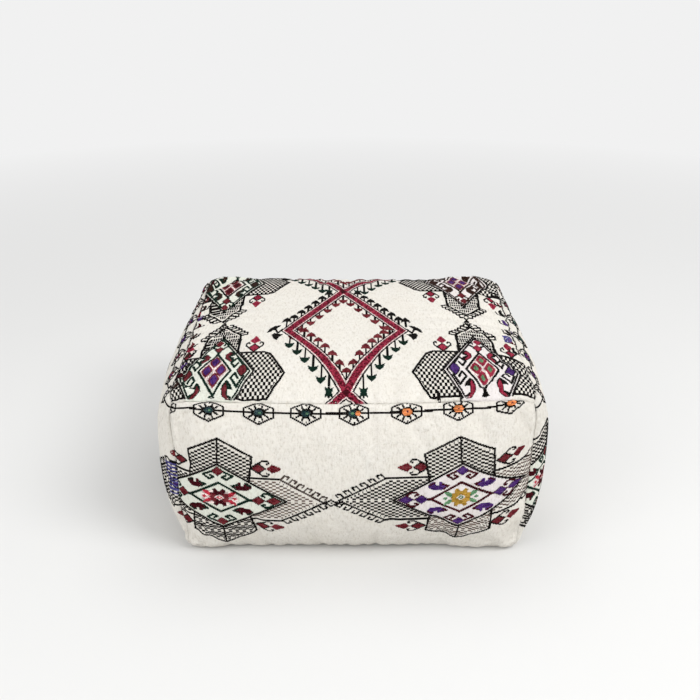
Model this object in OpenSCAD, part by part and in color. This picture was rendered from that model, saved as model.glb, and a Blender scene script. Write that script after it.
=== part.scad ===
// Kilim pouf, a stuffed box of hand woven cloth that stands on the floor as a seat or a footrest.
// Five woven panels are sewn into a cover, and a canvas base closes it with a zip.
// A sewn insert case that holds the stuffing fills the cover.
// Z is up and the base rests on z = 0. The front panel faces -Y and the wide side lies along X.

/* [Cover] */
// Width between the two front top corners of the cover
seam_w = 610; // [450:10:900]
// Depth between the front and the back top corners
seam_d = 600; // [450:10:900]
// Height of the top corners above the floor
seam_h = 300; // [200:5:450]
// Thickness of the hand woven panels
cloth_t = 2.2; // [1.5:0.1:4]
// Drop of each top seam from its corners to its middle
seam_dip = 9; // [0:1:20]
// Rise of the filled top panel above its corners
top_crown = 16; // [8:1:40]
// Swell of the left and right panels at their middle
side_swell = 54; // [20:1:80]
// Swell of the front and back panels at their middle
front_swell = 40; // [15:1:80]
// Pull of the upright corner seams towards the middle, at mid height
corner_pinch = 4; // [0:1:15]
// How far the left and right bottom seams lie inside the top ones
foot_in_x = 28; // [5:1:60]
// How far the front and back bottom seams lie inside the top ones
foot_in_y = 20; // [5:1:60]
// Extra draw of each bottom seam at its middle
foot_draw = 12; // [0:1:25]
// Height of the sewn lower edges above the floor
rim_lift = 0.4; // [0.2:0.1:1]

/* [Base] */
// Thickness of the canvas of the base
canvas_t = 1.5; // [1:0.1:2.5]
// Height that the zip lifts the edges of the canvas above the floor
valley_rise = 4.5; // [3.8:0.1:9]
// Distance from the middle of the base to where the canvas leaves the floor
valley_half = 34; // [28:1:60]
// Half of the slot between the two canvas edges
slot_half = 8; // [7:0.5:12]
// Width of the level canvas edge that the zip tape is sewn to
ledge_w = 4.5; // [3:0.5:8]

/* [Zip] */
// Length of the row of teeth
zip_len = 440; // [200:20:480]
// Distance from one tooth to the next in a row
tooth_pitch = 4; // [3:0.5:6]
// Thickness of the teeth and of the bead behind them
tooth_t = 3; // [2:0.1:3.4]
// How far a tooth reaches across the middle line
tooth_reach = 1.3; // [1:0.1:1.6]
// Distance from the middle line to the back of the bead
bead_back = 3.2; // [2.8:0.1:4]
// Thickness of the woven tape
tape_t = 0.6; // [0.4:0.1:1]
// Length of the slider
slider_len = 13; // [11:0.5:18]
// Thickness of each plate of the slider
plate_t = 1; // [0.8:0.1:1.4]
// Length of the pull from its pivot to its tip
pull_len = 26; // [18:1:40]
// Width of the pull
pull_w = 6.8; // [6:0.2:9]
// Thickness of the pull
pull_t = 1; // [0.8:0.1:1.1]

/* [Insert] */
// Thickness of the cloth of the insert case
case_t = 0.8; // [0.5:0.1:1.5]
// Space between one layer of the cushion and the next
layer_gap = 0.3; // [0.2:0.1:0.6]

/* [Hidden] */

// Facets of a sewn panel along its seam and down its height
across = 14;
down = 9;
// Shape of the swell: 1 is a plain arch, less is fuller near the seams
swell_power = 0.6;
belly_power = 0.55;
crown_power = 0.6;
// How late the bottom draws in, and how near the seam the dip stays
tuck_power = 6;
dip_power = 6;

// Shares that set how far along a seam each facet starts, closer together near the corners
steps = [for (i = [0 : across]) sin(90 * (2 * i / across - 1))];
levels = [for (k = [0 : down]) (1 - cos(180 * k / down)) / 2];

// Insets of the nested layers from the outer face of the cover
cover_inner = cloth_t;
case_outer = cover_inner + layer_gap;
case_inner = case_outer + case_t;
fill_outer = case_inner + layer_gap;

// The canvas base lies just inside the lower edges of the panels
base_inset = cover_inner + 0.1;

// Heights of the flat layers above the floor
base_top = canvas_t;
case_base_low = base_top + layer_gap;
case_base_t = fill_outer + rim_lift - 2 * layer_gap - case_base_low;
ledge_top = valley_rise + canvas_t;
ledge_out = slot_half + ledge_w;
tape_mid = ledge_top + tape_t / 2;

// Teeth: a narrow neck and a wider head, as shares of the pitch so that the rows lock
neck_half = 0.175 * tooth_pitch;
head_half = 0.275 * tooth_pitch;
bead_front = bead_back / 2;
head_start = 0.2;
tooth_count = floor((zip_len - 2 * head_half - tooth_pitch / 2) / tooth_pitch) + 1;

// Slider: its tunnel clears the bead, and its bail hangs below the lower plate
slider_clear = 0.25;
flange_w = 0.9;
tunnel_half = tooth_t / 2 + slider_clear;
slider_half_h = tunnel_half + plate_t;
tape_slot_half = tape_t / 2 + 0.15;
rear_inside = bead_back + 0.2;
front_inside = rear_inside + 1.3;
rear_half_w = rear_inside + flange_w;
front_half_w = front_inside + flange_w;
divider_back = 2.6;
divider_front = slider_len / 2 - 0.5;
bail_w = 1.8;
bail_half = 4;
bail_bar = 0.8;
pin_r = 0.6;
pin_clear = 0.35;
pin_drop = slider_half_h + pin_clear + pin_r;
bail_drop = pin_drop + pin_r + pin_clear + bail_bar;
arm_in = bail_w / 2 + 0.5;
eye_len = bail_half + 3;

// Places along the zip, with the slider drawn up to the closed end
zip_half = zip_len / 2;
stop_len = 3;
stop_gap = 0.3;
slider_x = zip_half - divider_back + 0.4;
slider_front = slider_x + slider_len / 2;
top_stop_x = slider_front + stop_gap;
tab_start = top_stop_x + stop_len + 1.5;
tape_over = 8;
slider_travel = slider_x - slider_len / 2 - stop_gap + zip_half;

// The insert clears the slider with this height over the valley
valley_roof = tape_mid + slider_half_h + 2 * layer_gap;
roof_half = ledge_out + 1;
roof_foot = valley_half + 2;
// Longer than the cover, for cuts and extrusions that run past its edges
reach = 2 * max(seam_w, seam_d);

echo(slider_travel_mm = slider_travel, slider_x_mm = slider_x, pin_z_mm = tape_mid - pin_drop);

// What a seam keeps of its swell at a share of its half length
function arch(u) = max(0, 1 - u * u);

function belly(s) = pow(max(0, 4 * s * (1 - s)), belly_power);

// Inset of an upright corner seam at a share of the way down
function corner_in(s, foot_in) = corner_pinch * sin(180 * s) + foot_in * pow(s, tuck_power);

// Height of a side panel, where inset shrinks the cushion evenly towards its middle
function side_z(u, s, inset) =
    rim_lift + inset
    + (1 - s) * (seam_h - rim_lift - 2 * inset - seam_dip * arch(u) * (1 - s));

function side_out(u, s, half, foot_in, swell, inset) =
    half - inset - corner_in(s, foot_in)
    + swell * pow(arch(u), swell_power) * belly(s)
    - foot_draw * arch(u) * pow(s, tuck_power);

function front_point(u, s, inset) = [
    u * (seam_w / 2 - inset - corner_in(s, foot_in_x)),
    -side_out(u, s, seam_d / 2, foot_in_y, front_swell, inset),
    side_z(u, s, inset)
];

function back_point(u, s, inset) =
    let (p = front_point(u, s, inset))
    [p.x, -p.y, p.z];

function right_point(u, s, inset) = [
    side_out(u, s, seam_w / 2, foot_in_x, side_swell, inset),
    u * (seam_d / 2 - inset - corner_in(s, foot_in_y)),
    side_z(u, s, inset)
];

function left_point(u, s, inset) =
    let (p = right_point(u, s, inset))
    [-p.x, p.y, p.z];

function top_point(u, v, inset) = [
    u * (seam_w / 2 - inset),
    v * (seam_d / 2 - inset),
    seam_h - inset
    - seam_dip * (arch(u) * pow(abs(v), dip_power) + arch(v) * pow(abs(u), dip_power))
    + top_crown * pow(arch(u) * arch(v), crown_power)
];

// One level loop round the cushion at a share of the way down its sides
function side_ring(s, inset) = concat(
    [for (i = [0 : across - 1]) front_point(steps[i], s, inset)],
    [for (i = [0 : across - 1]) right_point(steps[i], s, inset)],
    [for (i = [across : -1 : 1]) back_point(steps[i], s, inset)],
    [for (i = [across : -1 : 1]) left_point(steps[i], s, inset)]
);

function joined(lists) = [for (one = lists) for (item = one) item];

function turned(faces) = [for (f = faces) [f[2], f[1], f[0]]];

// Two triangles between a step along one edge, a to b, and the step under it, c to d
function strip(a, b, c, d) = [[a, b, d], [a, d, c]];

// A sheet of cloth between an outer and an inner grid of points, closed round its edges
module sheet(outer, inner, outward) {
    rows = len(outer);
    cols = len(outer[0]);
    count = rows * cols;
    body = joined([
        for (i = [0 : rows - 2])
            for (j = [0 : cols - 2])
                let (a = i * cols + j, b = a + cols, c = a + count, d = b + count)
                concat(
                    [[a, b, b + 1], [a, b + 1, a + 1]],
                    [[c, d + 1, d], [c, c + 1, d + 1]]
                )
    ]);
    side_edges = joined([
        for (j = [0 : cols - 2])
            let (first = j, last = (rows - 1) * cols + j)
            concat(
                strip(first, first + 1, first + count, first + count + 1),
                turned(strip(last, last + 1, last + count, last + count + 1))
            )
    ]);
    end_edges = joined([
        for (i = [0 : rows - 2])
            let (first = i * cols, last = i * cols + cols - 1)
            concat(
                turned(strip(first, first + cols, first + count, first + cols + count)),
                strip(last, last + cols, last + count, last + cols + count)
            )
    ]);
    faces = concat(body, side_edges, end_edges);
    polyhedron(concat(joined(outer), joined(inner)), outward ? faces : turned(faces));
}

// A band of cloth right round the cushion between outer and inner rings, closed at both edges
module band(outer, inner) {
    n = len(outer[0]);
    m = len(outer);
    count = n * m;
    walls = joined([
        for (k = [0 : m - 2])
            for (i = [0 : n - 1])
                let (here = k * n, under = here + n, next = (i + 1) % n)
                concat(
                    strip(here + i, here + next, under + i, under + next),
                    turned(strip(
                        count + here + i, count + here + next, count + under + i, count + under + next
                    ))
                )
    ]);
    edges = joined([
        for (i = [0 : n - 1])
            let (next = (i + 1) % n, foot = (m - 1) * n)
            concat(
                turned(strip(i, next, count + i, count + next)),
                strip(foot + i, foot + next, count + foot + i, count + foot + next)
            )
    ]);
    polyhedron(concat(joined(outer), joined(inner)), concat(walls, edges));
}

// The outline that the cushion stands on, at an inset from its outer face
module footprint(inset) {
    polygon([for (p = side_ring(1, inset)) [p.x, p.y]]);
}

// A profile drawn in Y and Z, run along X
module along_x(from, to) {
    translate([from, 0, 0])
        rotate([90, 0, 90])
            linear_extrude(to - from)
                children();
}

// The tunnel over the zip that the insert leaves free, with a roof at a height over the floor
module valley_cut(roof, spread) {
    along_x(-reach / 2, reach / 2)
        polygon([
            [-roof_foot - spread, -1],
            [roof_foot + spread, -1],
            [roof_foot + spread, case_base_low + roof - valley_roof],
            [roof_half + spread, roof],
            [-roof_half - spread, roof],
            [-roof_foot - spread, case_base_low + roof - valley_roof]
        ]);
}

module top_panel() {
    color("#e6dccb")
        sheet(
            [for (u = steps) [for (v = steps) top_point(u, v, 0)]],
            [for (u = steps) [for (v = steps) top_point(u, v, cover_inner)]],
            false
        );
}

module front_panel() {
    color("#e9e0d0")
        sheet(
            [for (u = steps) [for (s = levels) front_point(u, s, 0)]],
            [for (u = steps) [for (s = levels) front_point(u, s, cover_inner)]],
            true
        );
}

module back_panel() {
    color("#e9e0d0")
        sheet(
            [for (u = steps) [for (s = levels) back_point(-u, s, 0)]],
            [for (u = steps) [for (s = levels) back_point(-u, s, cover_inner)]],
            true
        );
}

module left_panel() {
    color("#ddd0ba")
        sheet(
            [for (u = steps) [for (s = levels) left_point(-u, s, 0)]],
            [for (u = steps) [for (s = levels) left_point(-u, s, cover_inner)]],
            true
        );
}

module right_panel() {
    color("#efe8dc")
        sheet(
            [for (u = steps) [for (s = levels) right_point(u, s, 0)]],
            [for (u = steps) [for (s = levels) right_point(u, s, cover_inner)]],
            true
        );
}

// Half of the canvas base: level on the floor, then lifted to a ledge beside the zip
module base_half() {
    intersection() {
        linear_extrude(2 * ledge_top)
            footprint(base_inset);
        along_x(-reach / 2, reach / 2)
            polygon([
                [slot_half, valley_rise],
                [ledge_out, valley_rise],
                [valley_half, 0],
                [reach, 0],
                [reach, base_top],
                [valley_half, base_top],
                [ledge_out, ledge_top],
                [slot_half, ledge_top]
            ]);
    }
}

module base_panel_back() {
    color("#cfc6b2")
        base_half();
}

module base_panel_front() {
    color("#cfc6b2")
        mirror([0, 1, 0])
            base_half();
}

// Canvas strip that closes the slot between the end of the zip and the side seam
module end_tab() {
    intersection() {
        translate([0, 0, valley_rise])
            linear_extrude(canvas_t)
                footprint(case_outer + canvas_t);
        translate([tab_start, -slot_half, 0])
            cube([reach, 2 * slot_half, ledge_top]);
    }
}

module zip_end_tab_right() {
    color("#c4baa4")
        end_tab();
}

module zip_end_tab_left() {
    color("#c4baa4")
        mirror([1, 0, 0])
            end_tab();
}

// Tape of one side, sewn on the ledge and over the ends of the tabs
module tape_half() {
    translate([-tab_start - tape_over, bead_back, ledge_top])
        cube([2 * (tab_start + tape_over), ledge_out - bead_back, tape_t]);
}

module zip_tape_back() {
    color("#b9b0a0")
        tape_half();
}

module zip_tape_front() {
    color("#b9b0a0")
        mirror([0, 1, 0])
            tape_half();
}

// A row of teeth on its bead: each tooth has a narrow neck and a wider head
module teeth_row(shift) {
    first = -zip_half + head_half + shift;
    translate([0, 0, tape_mid - tooth_t / 2])
        linear_extrude(tooth_t)
            polygon(concat(
                [[-zip_half, bead_back], [-zip_half, bead_front]],
                [
                    for (k = [0 : tooth_count - 1])
                        let (x = first + k * tooth_pitch)
                        for (p = [
                            [-neck_half, bead_front],
                            [-neck_half, -head_start],
                            [-head_half, -head_start],
                            [-head_half, -tooth_reach],
                            [head_half, -tooth_reach],
                            [head_half, -head_start],
                            [neck_half, -head_start],
                            [neck_half, bead_front]
                        ]) [x + p.x, p.y]
                ],
                [[zip_half, bead_front], [zip_half, bead_back]]
            ));
}

module zip_teeth_back() {
    color("#8d8577")
        teeth_row(0);
}

module zip_teeth_front() {
    color("#8d8577")
        mirror([0, 1, 0])
            teeth_row(tooth_pitch / 2);
}

// Outline of a slider plate: wide where the two rows part, narrow where they leave joined
module slider_outline() {
    nose = 1.5;
    polygon([
        [-slider_len / 2, rear_half_w - 1],
        [-slider_len / 2 + 1, rear_half_w],
        [0, rear_half_w],
        [2, front_half_w],
        [slider_len / 2 - nose, front_half_w],
        [slider_len / 2, front_half_w - nose],
        [slider_len / 2, -front_half_w + nose],
        [slider_len / 2 - nose, -front_half_w],
        [2, -front_half_w],
        [0, -rear_half_w],
        [-slider_len / 2 + 1, -rear_half_w],
        [-slider_len / 2, -rear_half_w + 1]
    ]);
}

// The channel that the two rows run through, open at both ends
module slider_channel() {
    polygon([
        [-slider_len, rear_inside],
        [0, rear_inside],
        [2, front_inside],
        [slider_len, front_inside],
        [slider_len, -front_inside],
        [2, -front_inside],
        [0, -rear_inside],
        [-slider_len, -rear_inside]
    ]);
}

module zip_slider() {
    color("#b08d57")
        translate([slider_x, 0, tape_mid]) {
            difference() {
                translate([0, 0, -slider_half_h])
                    linear_extrude(2 * slider_half_h)
                        slider_outline();
                translate([0, 0, -tunnel_half])
                    linear_extrude(2 * tunnel_half)
                        slider_channel();
                translate([-slider_len, -reach / 2, -tape_slot_half])
                    cube([2 * slider_len, reach, 2 * tape_slot_half]);
            }
            // The divider joins the two plates and parts the rows
            translate([0, 0, -tunnel_half - plate_t / 2])
                linear_extrude(2 * tunnel_half + plate_t)
                    polygon([
                        [divider_back, 0.5],
                        [divider_front, 1.3],
                        [divider_front, -1.3],
                        [divider_back, -0.5]
                    ]);
            // The bail is an arch under the lower plate that carries the pull
            translate([0, bail_w / 2, 0])
                rotate([90, 0, 0])
                    linear_extrude(bail_w)
                        difference() {
                            polygon([
                                [-bail_half, -slider_half_h + plate_t / 2],
                                [-bail_half, -bail_drop + 1],
                                [-bail_half + 1, -bail_drop],
                                [bail_half - 1, -bail_drop],
                                [bail_half, -bail_drop + 1],
                                [bail_half, -slider_half_h + plate_t / 2]
                            ]);
                            polygon([
                                [-bail_half + 1.1, -slider_half_h],
                                [-bail_half + 1.1, -bail_drop + bail_bar],
                                [bail_half - 1.1, -bail_drop + bail_bar],
                                [bail_half - 1.1, -slider_half_h]
                            ]);
                        }
        }
}

module zip_pull() {
    color("#b08d57")
        translate([slider_x, 0, tape_mid - pin_drop]) {
            rotate([90, 0, 0])
                translate([0, 0, -pull_w / 2])
                    cylinder(h = pull_w, r = pin_r, $fn = 48);
            translate([0, 0, -pull_t / 2])
                linear_extrude(pull_t)
                    difference() {
                        union() {
                            translate([-pull_len + pull_w / 2, -pull_w / 2])
                                square([pull_len - pull_w / 2, pull_w]);
                            translate([-pull_len + pull_w / 2, 0])
                                circle(d = pull_w, $fn = 64);
                        }
                        translate([-eye_len, -arm_in])
                            square([eye_len + 1, 2 * arm_in]);
                        translate([-pull_len + pull_w / 2, 0])
                            circle(d = pull_w / 2.4, $fn = 48);
                    }
        }
}

// Metal clips that are pinched over the tape edges in front of the closed slider
module zip_top_stops() {
    color("#b08d57")
        for (side = [-1, 1])
            difference() {
                translate([top_stop_x, side * bead_back - 1.6, tape_mid - tooth_t / 2])
                    cube([stop_len, 3.2, tooth_t]);
                translate([top_stop_x - 1, side > 0 ? bead_back : -bead_back - 5, ledge_top])
                    cube([stop_len + 2, 5, tape_t]);
            }
}

// Box clip that holds both rows together at the open end
module zip_bottom_stop() {
    color("#b08d57")
        difference() {
            translate([-zip_half - stop_len, -bead_back - 1.6, tape_mid - tooth_t / 2])
                cube([stop_len, 2 * bead_back + 3.2, tooth_t]);
            for (side = [-1, 1])
                translate([-zip_half - stop_len - 1, side > 0 ? bead_back : -bead_back - 5, ledge_top])
                    cube([stop_len + 2, 5, tape_t]);
        }
}

module insert_case_top() {
    color("#f4f1ea")
        sheet(
            [for (u = steps) [for (v = steps) top_point(u, v, case_outer)]],
            [for (u = steps) [for (v = steps) top_point(u, v, case_inner)]],
            false
        );
}

module insert_case_boxing() {
    color("#f4f1ea")
        difference() {
            band(
                [for (s = levels) side_ring(s, case_outer)],
                [for (s = levels) side_ring(s, case_inner)]
            );
            valley_cut(valley_roof, 0);
        }
}

module insert_case_base() {
    color("#f4f1ea")
        intersection() {
            linear_extrude(2 * valley_roof)
                footprint(fill_outer);
            along_x(-reach / 2, reach / 2)
                polygon([
                    [-reach, case_base_low],
                    [-roof_foot, case_base_low],
                    [-roof_half, valley_roof],
                    [roof_half, valley_roof],
                    [roof_foot, case_base_low],
                    [reach, case_base_low],
                    [reach, case_base_low + case_base_t],
                    [roof_foot + case_base_t, case_base_low + case_base_t],
                    [roof_half + case_base_t, valley_roof + case_base_t],
                    [-roof_half - case_base_t, valley_roof + case_base_t],
                    [-roof_foot - case_base_t, case_base_low + case_base_t],
                    [-reach, case_base_low + case_base_t]
                ]);
        }
}

// Where a point of the crown's grid stands in a list of side rings followed by the inner points
function crown_index(i, j, inner_start) =
    j == 0 && i < across ? i
    : i == across && j < across ? across + j
    : j == across && i > 0 ? 3 * across - i
    : i == 0 ? 4 * across - j
    : inner_start + (i - 1) * (across - 1) + j - 1;

module stuffing() {
    n = 4 * across;
    rings = [for (s = levels) side_ring(s, fill_outer)];
    crown = [for (i = [1 : across - 1]) for (j = [1 : across - 1]) top_point(steps[i], steps[j], fill_outer)];
    inner_start = n * (down + 1);
    faces = concat(
        joined([
            for (k = [0 : down - 1])
                for (i = [0 : n - 1])
                    let (here = k * n, under = here + n, next = (i + 1) % n)
                    strip(here + i, here + next, under + i, under + next)
        ]),
        joined([
            for (i = [0 : across - 1])
                for (j = [0 : across - 1])
                    let (
                        a = crown_index(i, j, inner_start),
                        b = crown_index(i + 1, j, inner_start),
                        c = crown_index(i + 1, j + 1, inner_start),
                        d = crown_index(i, j + 1, inner_start)
                    )
                    [[a, c, b], [a, d, c]]
        ]),
        [[for (i = [0 : n - 1]) down * n + i]]
    );
    color("#fbfaf6")
        difference() {
            polyhedron(concat(joined(rings), crown), faces);
            valley_cut(valley_roof + case_base_t + layer_gap, case_base_t + layer_gap);
        }
}

top_panel();
front_panel();
back_panel();
left_panel();
right_panel();
base_panel_front();
base_panel_back();
zip_end_tab_left();
zip_end_tab_right();
zip_tape_front();
zip_tape_back();
zip_teeth_front();
zip_teeth_back();
zip_slider();
zip_pull();
zip_top_stops();
zip_bottom_stop();
insert_case_top();
insert_case_boxing();
insert_case_base();
stuffing();
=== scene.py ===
# %% [markdown]
# # A kilim pouf, dressed in its cloth
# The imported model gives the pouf's size and its moving zip. This lesson sews the soft pieces round it:
# a cover of five woven panels with brocaded motifs, a canvas base, and a stuffed insert inside.

# %% Load the frame
import math
import bpy
import numpy as np
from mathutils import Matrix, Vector


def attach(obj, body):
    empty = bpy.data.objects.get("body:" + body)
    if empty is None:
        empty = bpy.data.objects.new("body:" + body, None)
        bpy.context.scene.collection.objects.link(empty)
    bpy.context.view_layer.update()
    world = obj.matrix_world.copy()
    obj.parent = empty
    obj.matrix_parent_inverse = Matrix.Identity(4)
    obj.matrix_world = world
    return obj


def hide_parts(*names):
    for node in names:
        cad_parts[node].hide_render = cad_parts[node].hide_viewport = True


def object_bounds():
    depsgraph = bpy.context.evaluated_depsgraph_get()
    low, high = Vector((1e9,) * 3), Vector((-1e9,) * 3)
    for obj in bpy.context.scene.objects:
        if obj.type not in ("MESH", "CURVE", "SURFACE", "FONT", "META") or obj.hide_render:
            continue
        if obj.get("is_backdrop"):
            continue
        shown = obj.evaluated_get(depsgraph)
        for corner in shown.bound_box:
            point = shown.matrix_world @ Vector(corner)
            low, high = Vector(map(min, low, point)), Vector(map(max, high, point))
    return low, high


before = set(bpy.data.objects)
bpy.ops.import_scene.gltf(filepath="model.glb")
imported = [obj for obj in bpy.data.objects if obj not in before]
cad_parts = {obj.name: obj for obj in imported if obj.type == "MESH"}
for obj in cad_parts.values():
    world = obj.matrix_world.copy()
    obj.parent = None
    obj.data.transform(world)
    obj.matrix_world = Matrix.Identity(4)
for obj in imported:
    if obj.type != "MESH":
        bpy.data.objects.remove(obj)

cad_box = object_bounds()
MM = 0.001

# %% [markdown]
# ## The shape of the cushion
# A stuffed box keeps its seams short and lets its cloth belly out between them. The top crowns a little,
# the sides swell most at mid height, and the foot draws in where the weight rests. Such a form could be
# sculpted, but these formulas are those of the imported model, so the cloth and the solids stay one size.

# %% Sizes in millimetres
SEAM_W, SEAM_D, SEAM_H = 610.0, 600.0, 300.0
RIM_LIFT, CORNER_PINCH, FOOT_DRAW = 0.4, 4.0, 12.0
FOOT_IN_X, FOOT_IN_Y = 28.0, 20.0
SIDE_SWELL, FRONT_SWELL, TOP_CROWN = 54.0, 40.0, 16.0
DIPS = {"front": 6.0, "back": 12.0, "left": 9.0, "right": 9.0}
COVER_T, CASE_T = 2.0, 0.8
SIDES = ("front", "right", "back", "left")
FORWARD = ("front", "right")


# %% The form in formulas
def arch(u):
    """1 in the middle of a seam, and 0 at its ends."""
    return np.maximum(0, 1 - u * u)


def corner_in(s, foot_in):
    """How far a corner draws in, from the top at 0 to the foot at 1."""
    return CORNER_PINCH * np.sin(np.pi * s) + foot_in * s ** 6


def points_at(x, y, z):
    return np.stack(np.broadcast_arrays(x, y, z), -1)


def side_point(side, u, s):
    """A point of a side panel: u from -1 to 1 along its seam, s from 0 at the top to 1 at the foot."""
    wide = side in ("front", "back")
    half, along = (SEAM_D / 2, SEAM_W / 2) if wide else (SEAM_W / 2, SEAM_D / 2)
    foot_out, foot_along = (FOOT_IN_Y, FOOT_IN_X) if wide else (FOOT_IN_X, FOOT_IN_Y)
    swell = FRONT_SWELL if wide else SIDE_SWELL
    z = RIM_LIFT + (1 - s) * (SEAM_H - RIM_LIFT - DIPS[side] * arch(u) * (1 - s))
    out = half - corner_in(s, foot_out) - FOOT_DRAW * arch(u) * s ** 6
    out = out + swell * arch(u) ** 0.6 * np.maximum(0, 4 * s * (1 - s)) ** 0.55
    across = u * (along - corner_in(s, foot_along))
    out = -out if side in ("front", "left") else out
    x, y = (across, out) if wide else (out, across)
    return points_at(x, y, z)


def top_point(u, v):
    """A point of the top panel: u from left to right and v from front to back, both from -1 to 1."""
    front_back = np.where(v < 0, DIPS["front"], DIPS["back"])
    dip = front_back * arch(u) * np.abs(v) ** 6 + DIPS["left"] * arch(v) * np.abs(u) ** 6
    z = SEAM_H - dip + TOP_CROWN * (arch(u) * arch(v)) ** 0.6
    return points_at(u * SEAM_W / 2, v * SEAM_D / 2, z)


# %% Even steps along the cloth
def evenly(curve, low, high, count, samples=1601):
    """Shares between low and high that cut a curve into equal lengths, and its whole length."""
    share = np.linspace(low, high, samples)
    steps = np.linalg.norm(np.diff(curve(share), axis=0), axis=1)
    length = np.concatenate([[0], np.cumsum(steps)])
    return np.interp(np.linspace(0, length[-1], count + 1), length, share), length[-1]


ACROSS, DOWN, BELT = 56, 30, 0.45
seam_x, WIDTH = evenly(lambda u: side_point("front", u, BELT), -1, 1, ACROSS)
seam_y, DEPTH = evenly(lambda u: side_point("right", u, BELT), -1, 1, ACROSS)
levels, HEIGHT = evenly(lambda s: side_point("front", 0 * s, s), 0, 1, DOWN)
print(f"cloth of the front {WIDTH:.0f} x {HEIGHT:.0f} mm, of a side {DEPTH:.0f} x {HEIGHT:.0f} mm")

# %% [markdown]
# ## Sewing and filling the cover
# The panels are joined into one closed skin, because a cushion is shaped by pressure against its seams.
# Blender's Cloth does this well: the seams are held, the cloth is cut a little large, and pressure fills
# it. Only the creases are kept from it. The broad shape stays as measured, so the pouf keeps its size.

# %% Join the panels
def ring_place(side, i):
    """Where a step along a side stands in the ring of steps round the cushion."""
    if side in FORWARD:
        return i + ACROSS * (side == "right")
    return ((3 if side == "back" else 4) * ACROSS - i) % (4 * ACROSS)


def bordered(places, level, first):
    """A square grid of new points from first on, with the panels' points of one level round it."""
    grid = np.zeros((ACROSS + 1, ACROSS + 1), int)
    grid[1:-1, 1:-1] = first + np.arange((ACROSS - 1) ** 2).reshape(ACROSS - 1, ACROSS - 1)
    grid[:, 0], grid[:, -1] = places["front"][:, level], places["back"][:, level]
    grid[0], grid[-1] = places["left"][:, level], places["right"][:, level]
    return grid


def quads_of(grid):
    """The four points of each cell in a grid of points."""
    return np.stack([grid[:-1, :-1], grid[1:, :-1], grid[1:, 1:], grid[:-1, 1:]], -1).reshape(-1, 4)


def sewn():
    """All points of the closed skin, and for each panel the grid of its points in them."""
    ring = 4 * ACROSS
    points = np.zeros((ring * (DOWN + 1) + (ACROSS - 1) ** 2, 3))
    places = {}
    for side in SIDES:
        seam = seam_x if side in ("front", "back") else seam_y
        first = np.array([ring_place(side, i) for i in range(ACROSS + 1)])
        places[side] = first[:, None] + ring * np.arange(DOWN + 1)
        points[places[side]] = side_point(side, seam[:, None], levels[None])
    places["top"] = bordered(places, 0, ring * (DOWN + 1))
    points[places["top"][1:-1, 1:-1]] = top_point(seam_x[1:-1, None], seam_y[None, 1:-1])
    return points, places


def skin_faces(places):
    """Faces of the skin that look outwards, with one large face under the foot."""
    faces, foot = [], []
    for panel, grid in places.items():
        quads = quads_of(grid)
        faces += (quads[:, ::-1] if panel in FORWARD else quads).tolist()
    for side in SIDES:
        rim = places[side][:, -1].tolist()
        foot += rim[:-1] if side in FORWARD else rim[:0:-1]
    return faces + [foot[::-1]]


# %% Meshes
def placed(name, data):
    """A new object in the scene."""
    made = bpy.data.objects.new(name, data)
    bpy.context.scene.collection.objects.link(made)
    return made


def mesh_object(name, points, faces, smooth=True):
    """An object in metres from points in millimetres."""
    mesh = bpy.data.meshes.new(name)
    mesh.from_pydata((np.asarray(points) * MM).tolist(), [], faces)
    mesh.update()
    if smooth:
        mesh.shade_smooth()
    return placed(name, mesh)


def read(items, name, width, kind=float):
    """One property of a mesh's vertices, edges or corners, in rows."""
    found = np.zeros(len(items) * width, kind)
    items.foreach_get(name, found)
    return found.reshape(-1, width)


def facing_of(skin):
    """The skin's outward directions, level along the foot's rim, which stays on the floor."""
    facing = read(skin.data.vertices, "normal", 3)
    facing[np.unique([places[side][:, -1] for side in SIDES]), 2] = 0
    return facing / np.linalg.norm(facing, axis=1, keepdims=True)


# %% The skin
form, places = sewn()
skin = mesh_object("skin", form, skin_faces(places))
outward = facing_of(skin)
middle = places["top"][ACROSS // 2, ACROSS // 2]
print("skin:", len(form), "points; the top looks up:", bool(outward[middle, 2] > 0.9))

# %% An uneven filling
LUMPS, LUMP_SEED, LUMP_HEIGHT, LUMP_REACH = 70, 11, 1.5, (28, 75)
EAR_ROUND, EAR_WIDE, EAR_SINK = 5.5, 26, 1.3
FOLD, FOLD_AT, FOLD_WIDE = 3.4, 70, 40
BULGE, DIMPLE, CORNER_WIDE = 6.0, 4.0, 46
HEM_WAVE, HEM_TALL = 0.9, 26


def hill(distance, wide):
    """A smooth hill: 1 in its middle, and about a third of that at its width."""
    return np.exp(-((distance / wide) ** 2))


def lumps(points):
    """Soft unevenness of the filling: low mounds and hollows at random places."""
    rng = np.random.default_rng(LUMP_SEED)
    found = np.zeros(len(points))
    for at in points[rng.integers(0, len(points), LUMPS)]:
        wide = rng.uniform(*LUMP_REACH) * 2 ** 0.5
        found += rng.normal(0, LUMP_HEIGHT) * hill(np.linalg.norm(points - at, axis=1), wide)
    return found


def smoothed(values, neighbours, rounds):
    """Values over the skin, averaged with those of their neighbours."""
    first, second = neighbours
    share = np.bincount(np.concatenate([first, second]), minlength=len(values))[:, None]
    for _ in range(rounds):
        total = np.zeros_like(values)
        np.add.at(total, first, values[second])
        np.add.at(total, second, values[first])
        values = total / share
    return values


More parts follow.
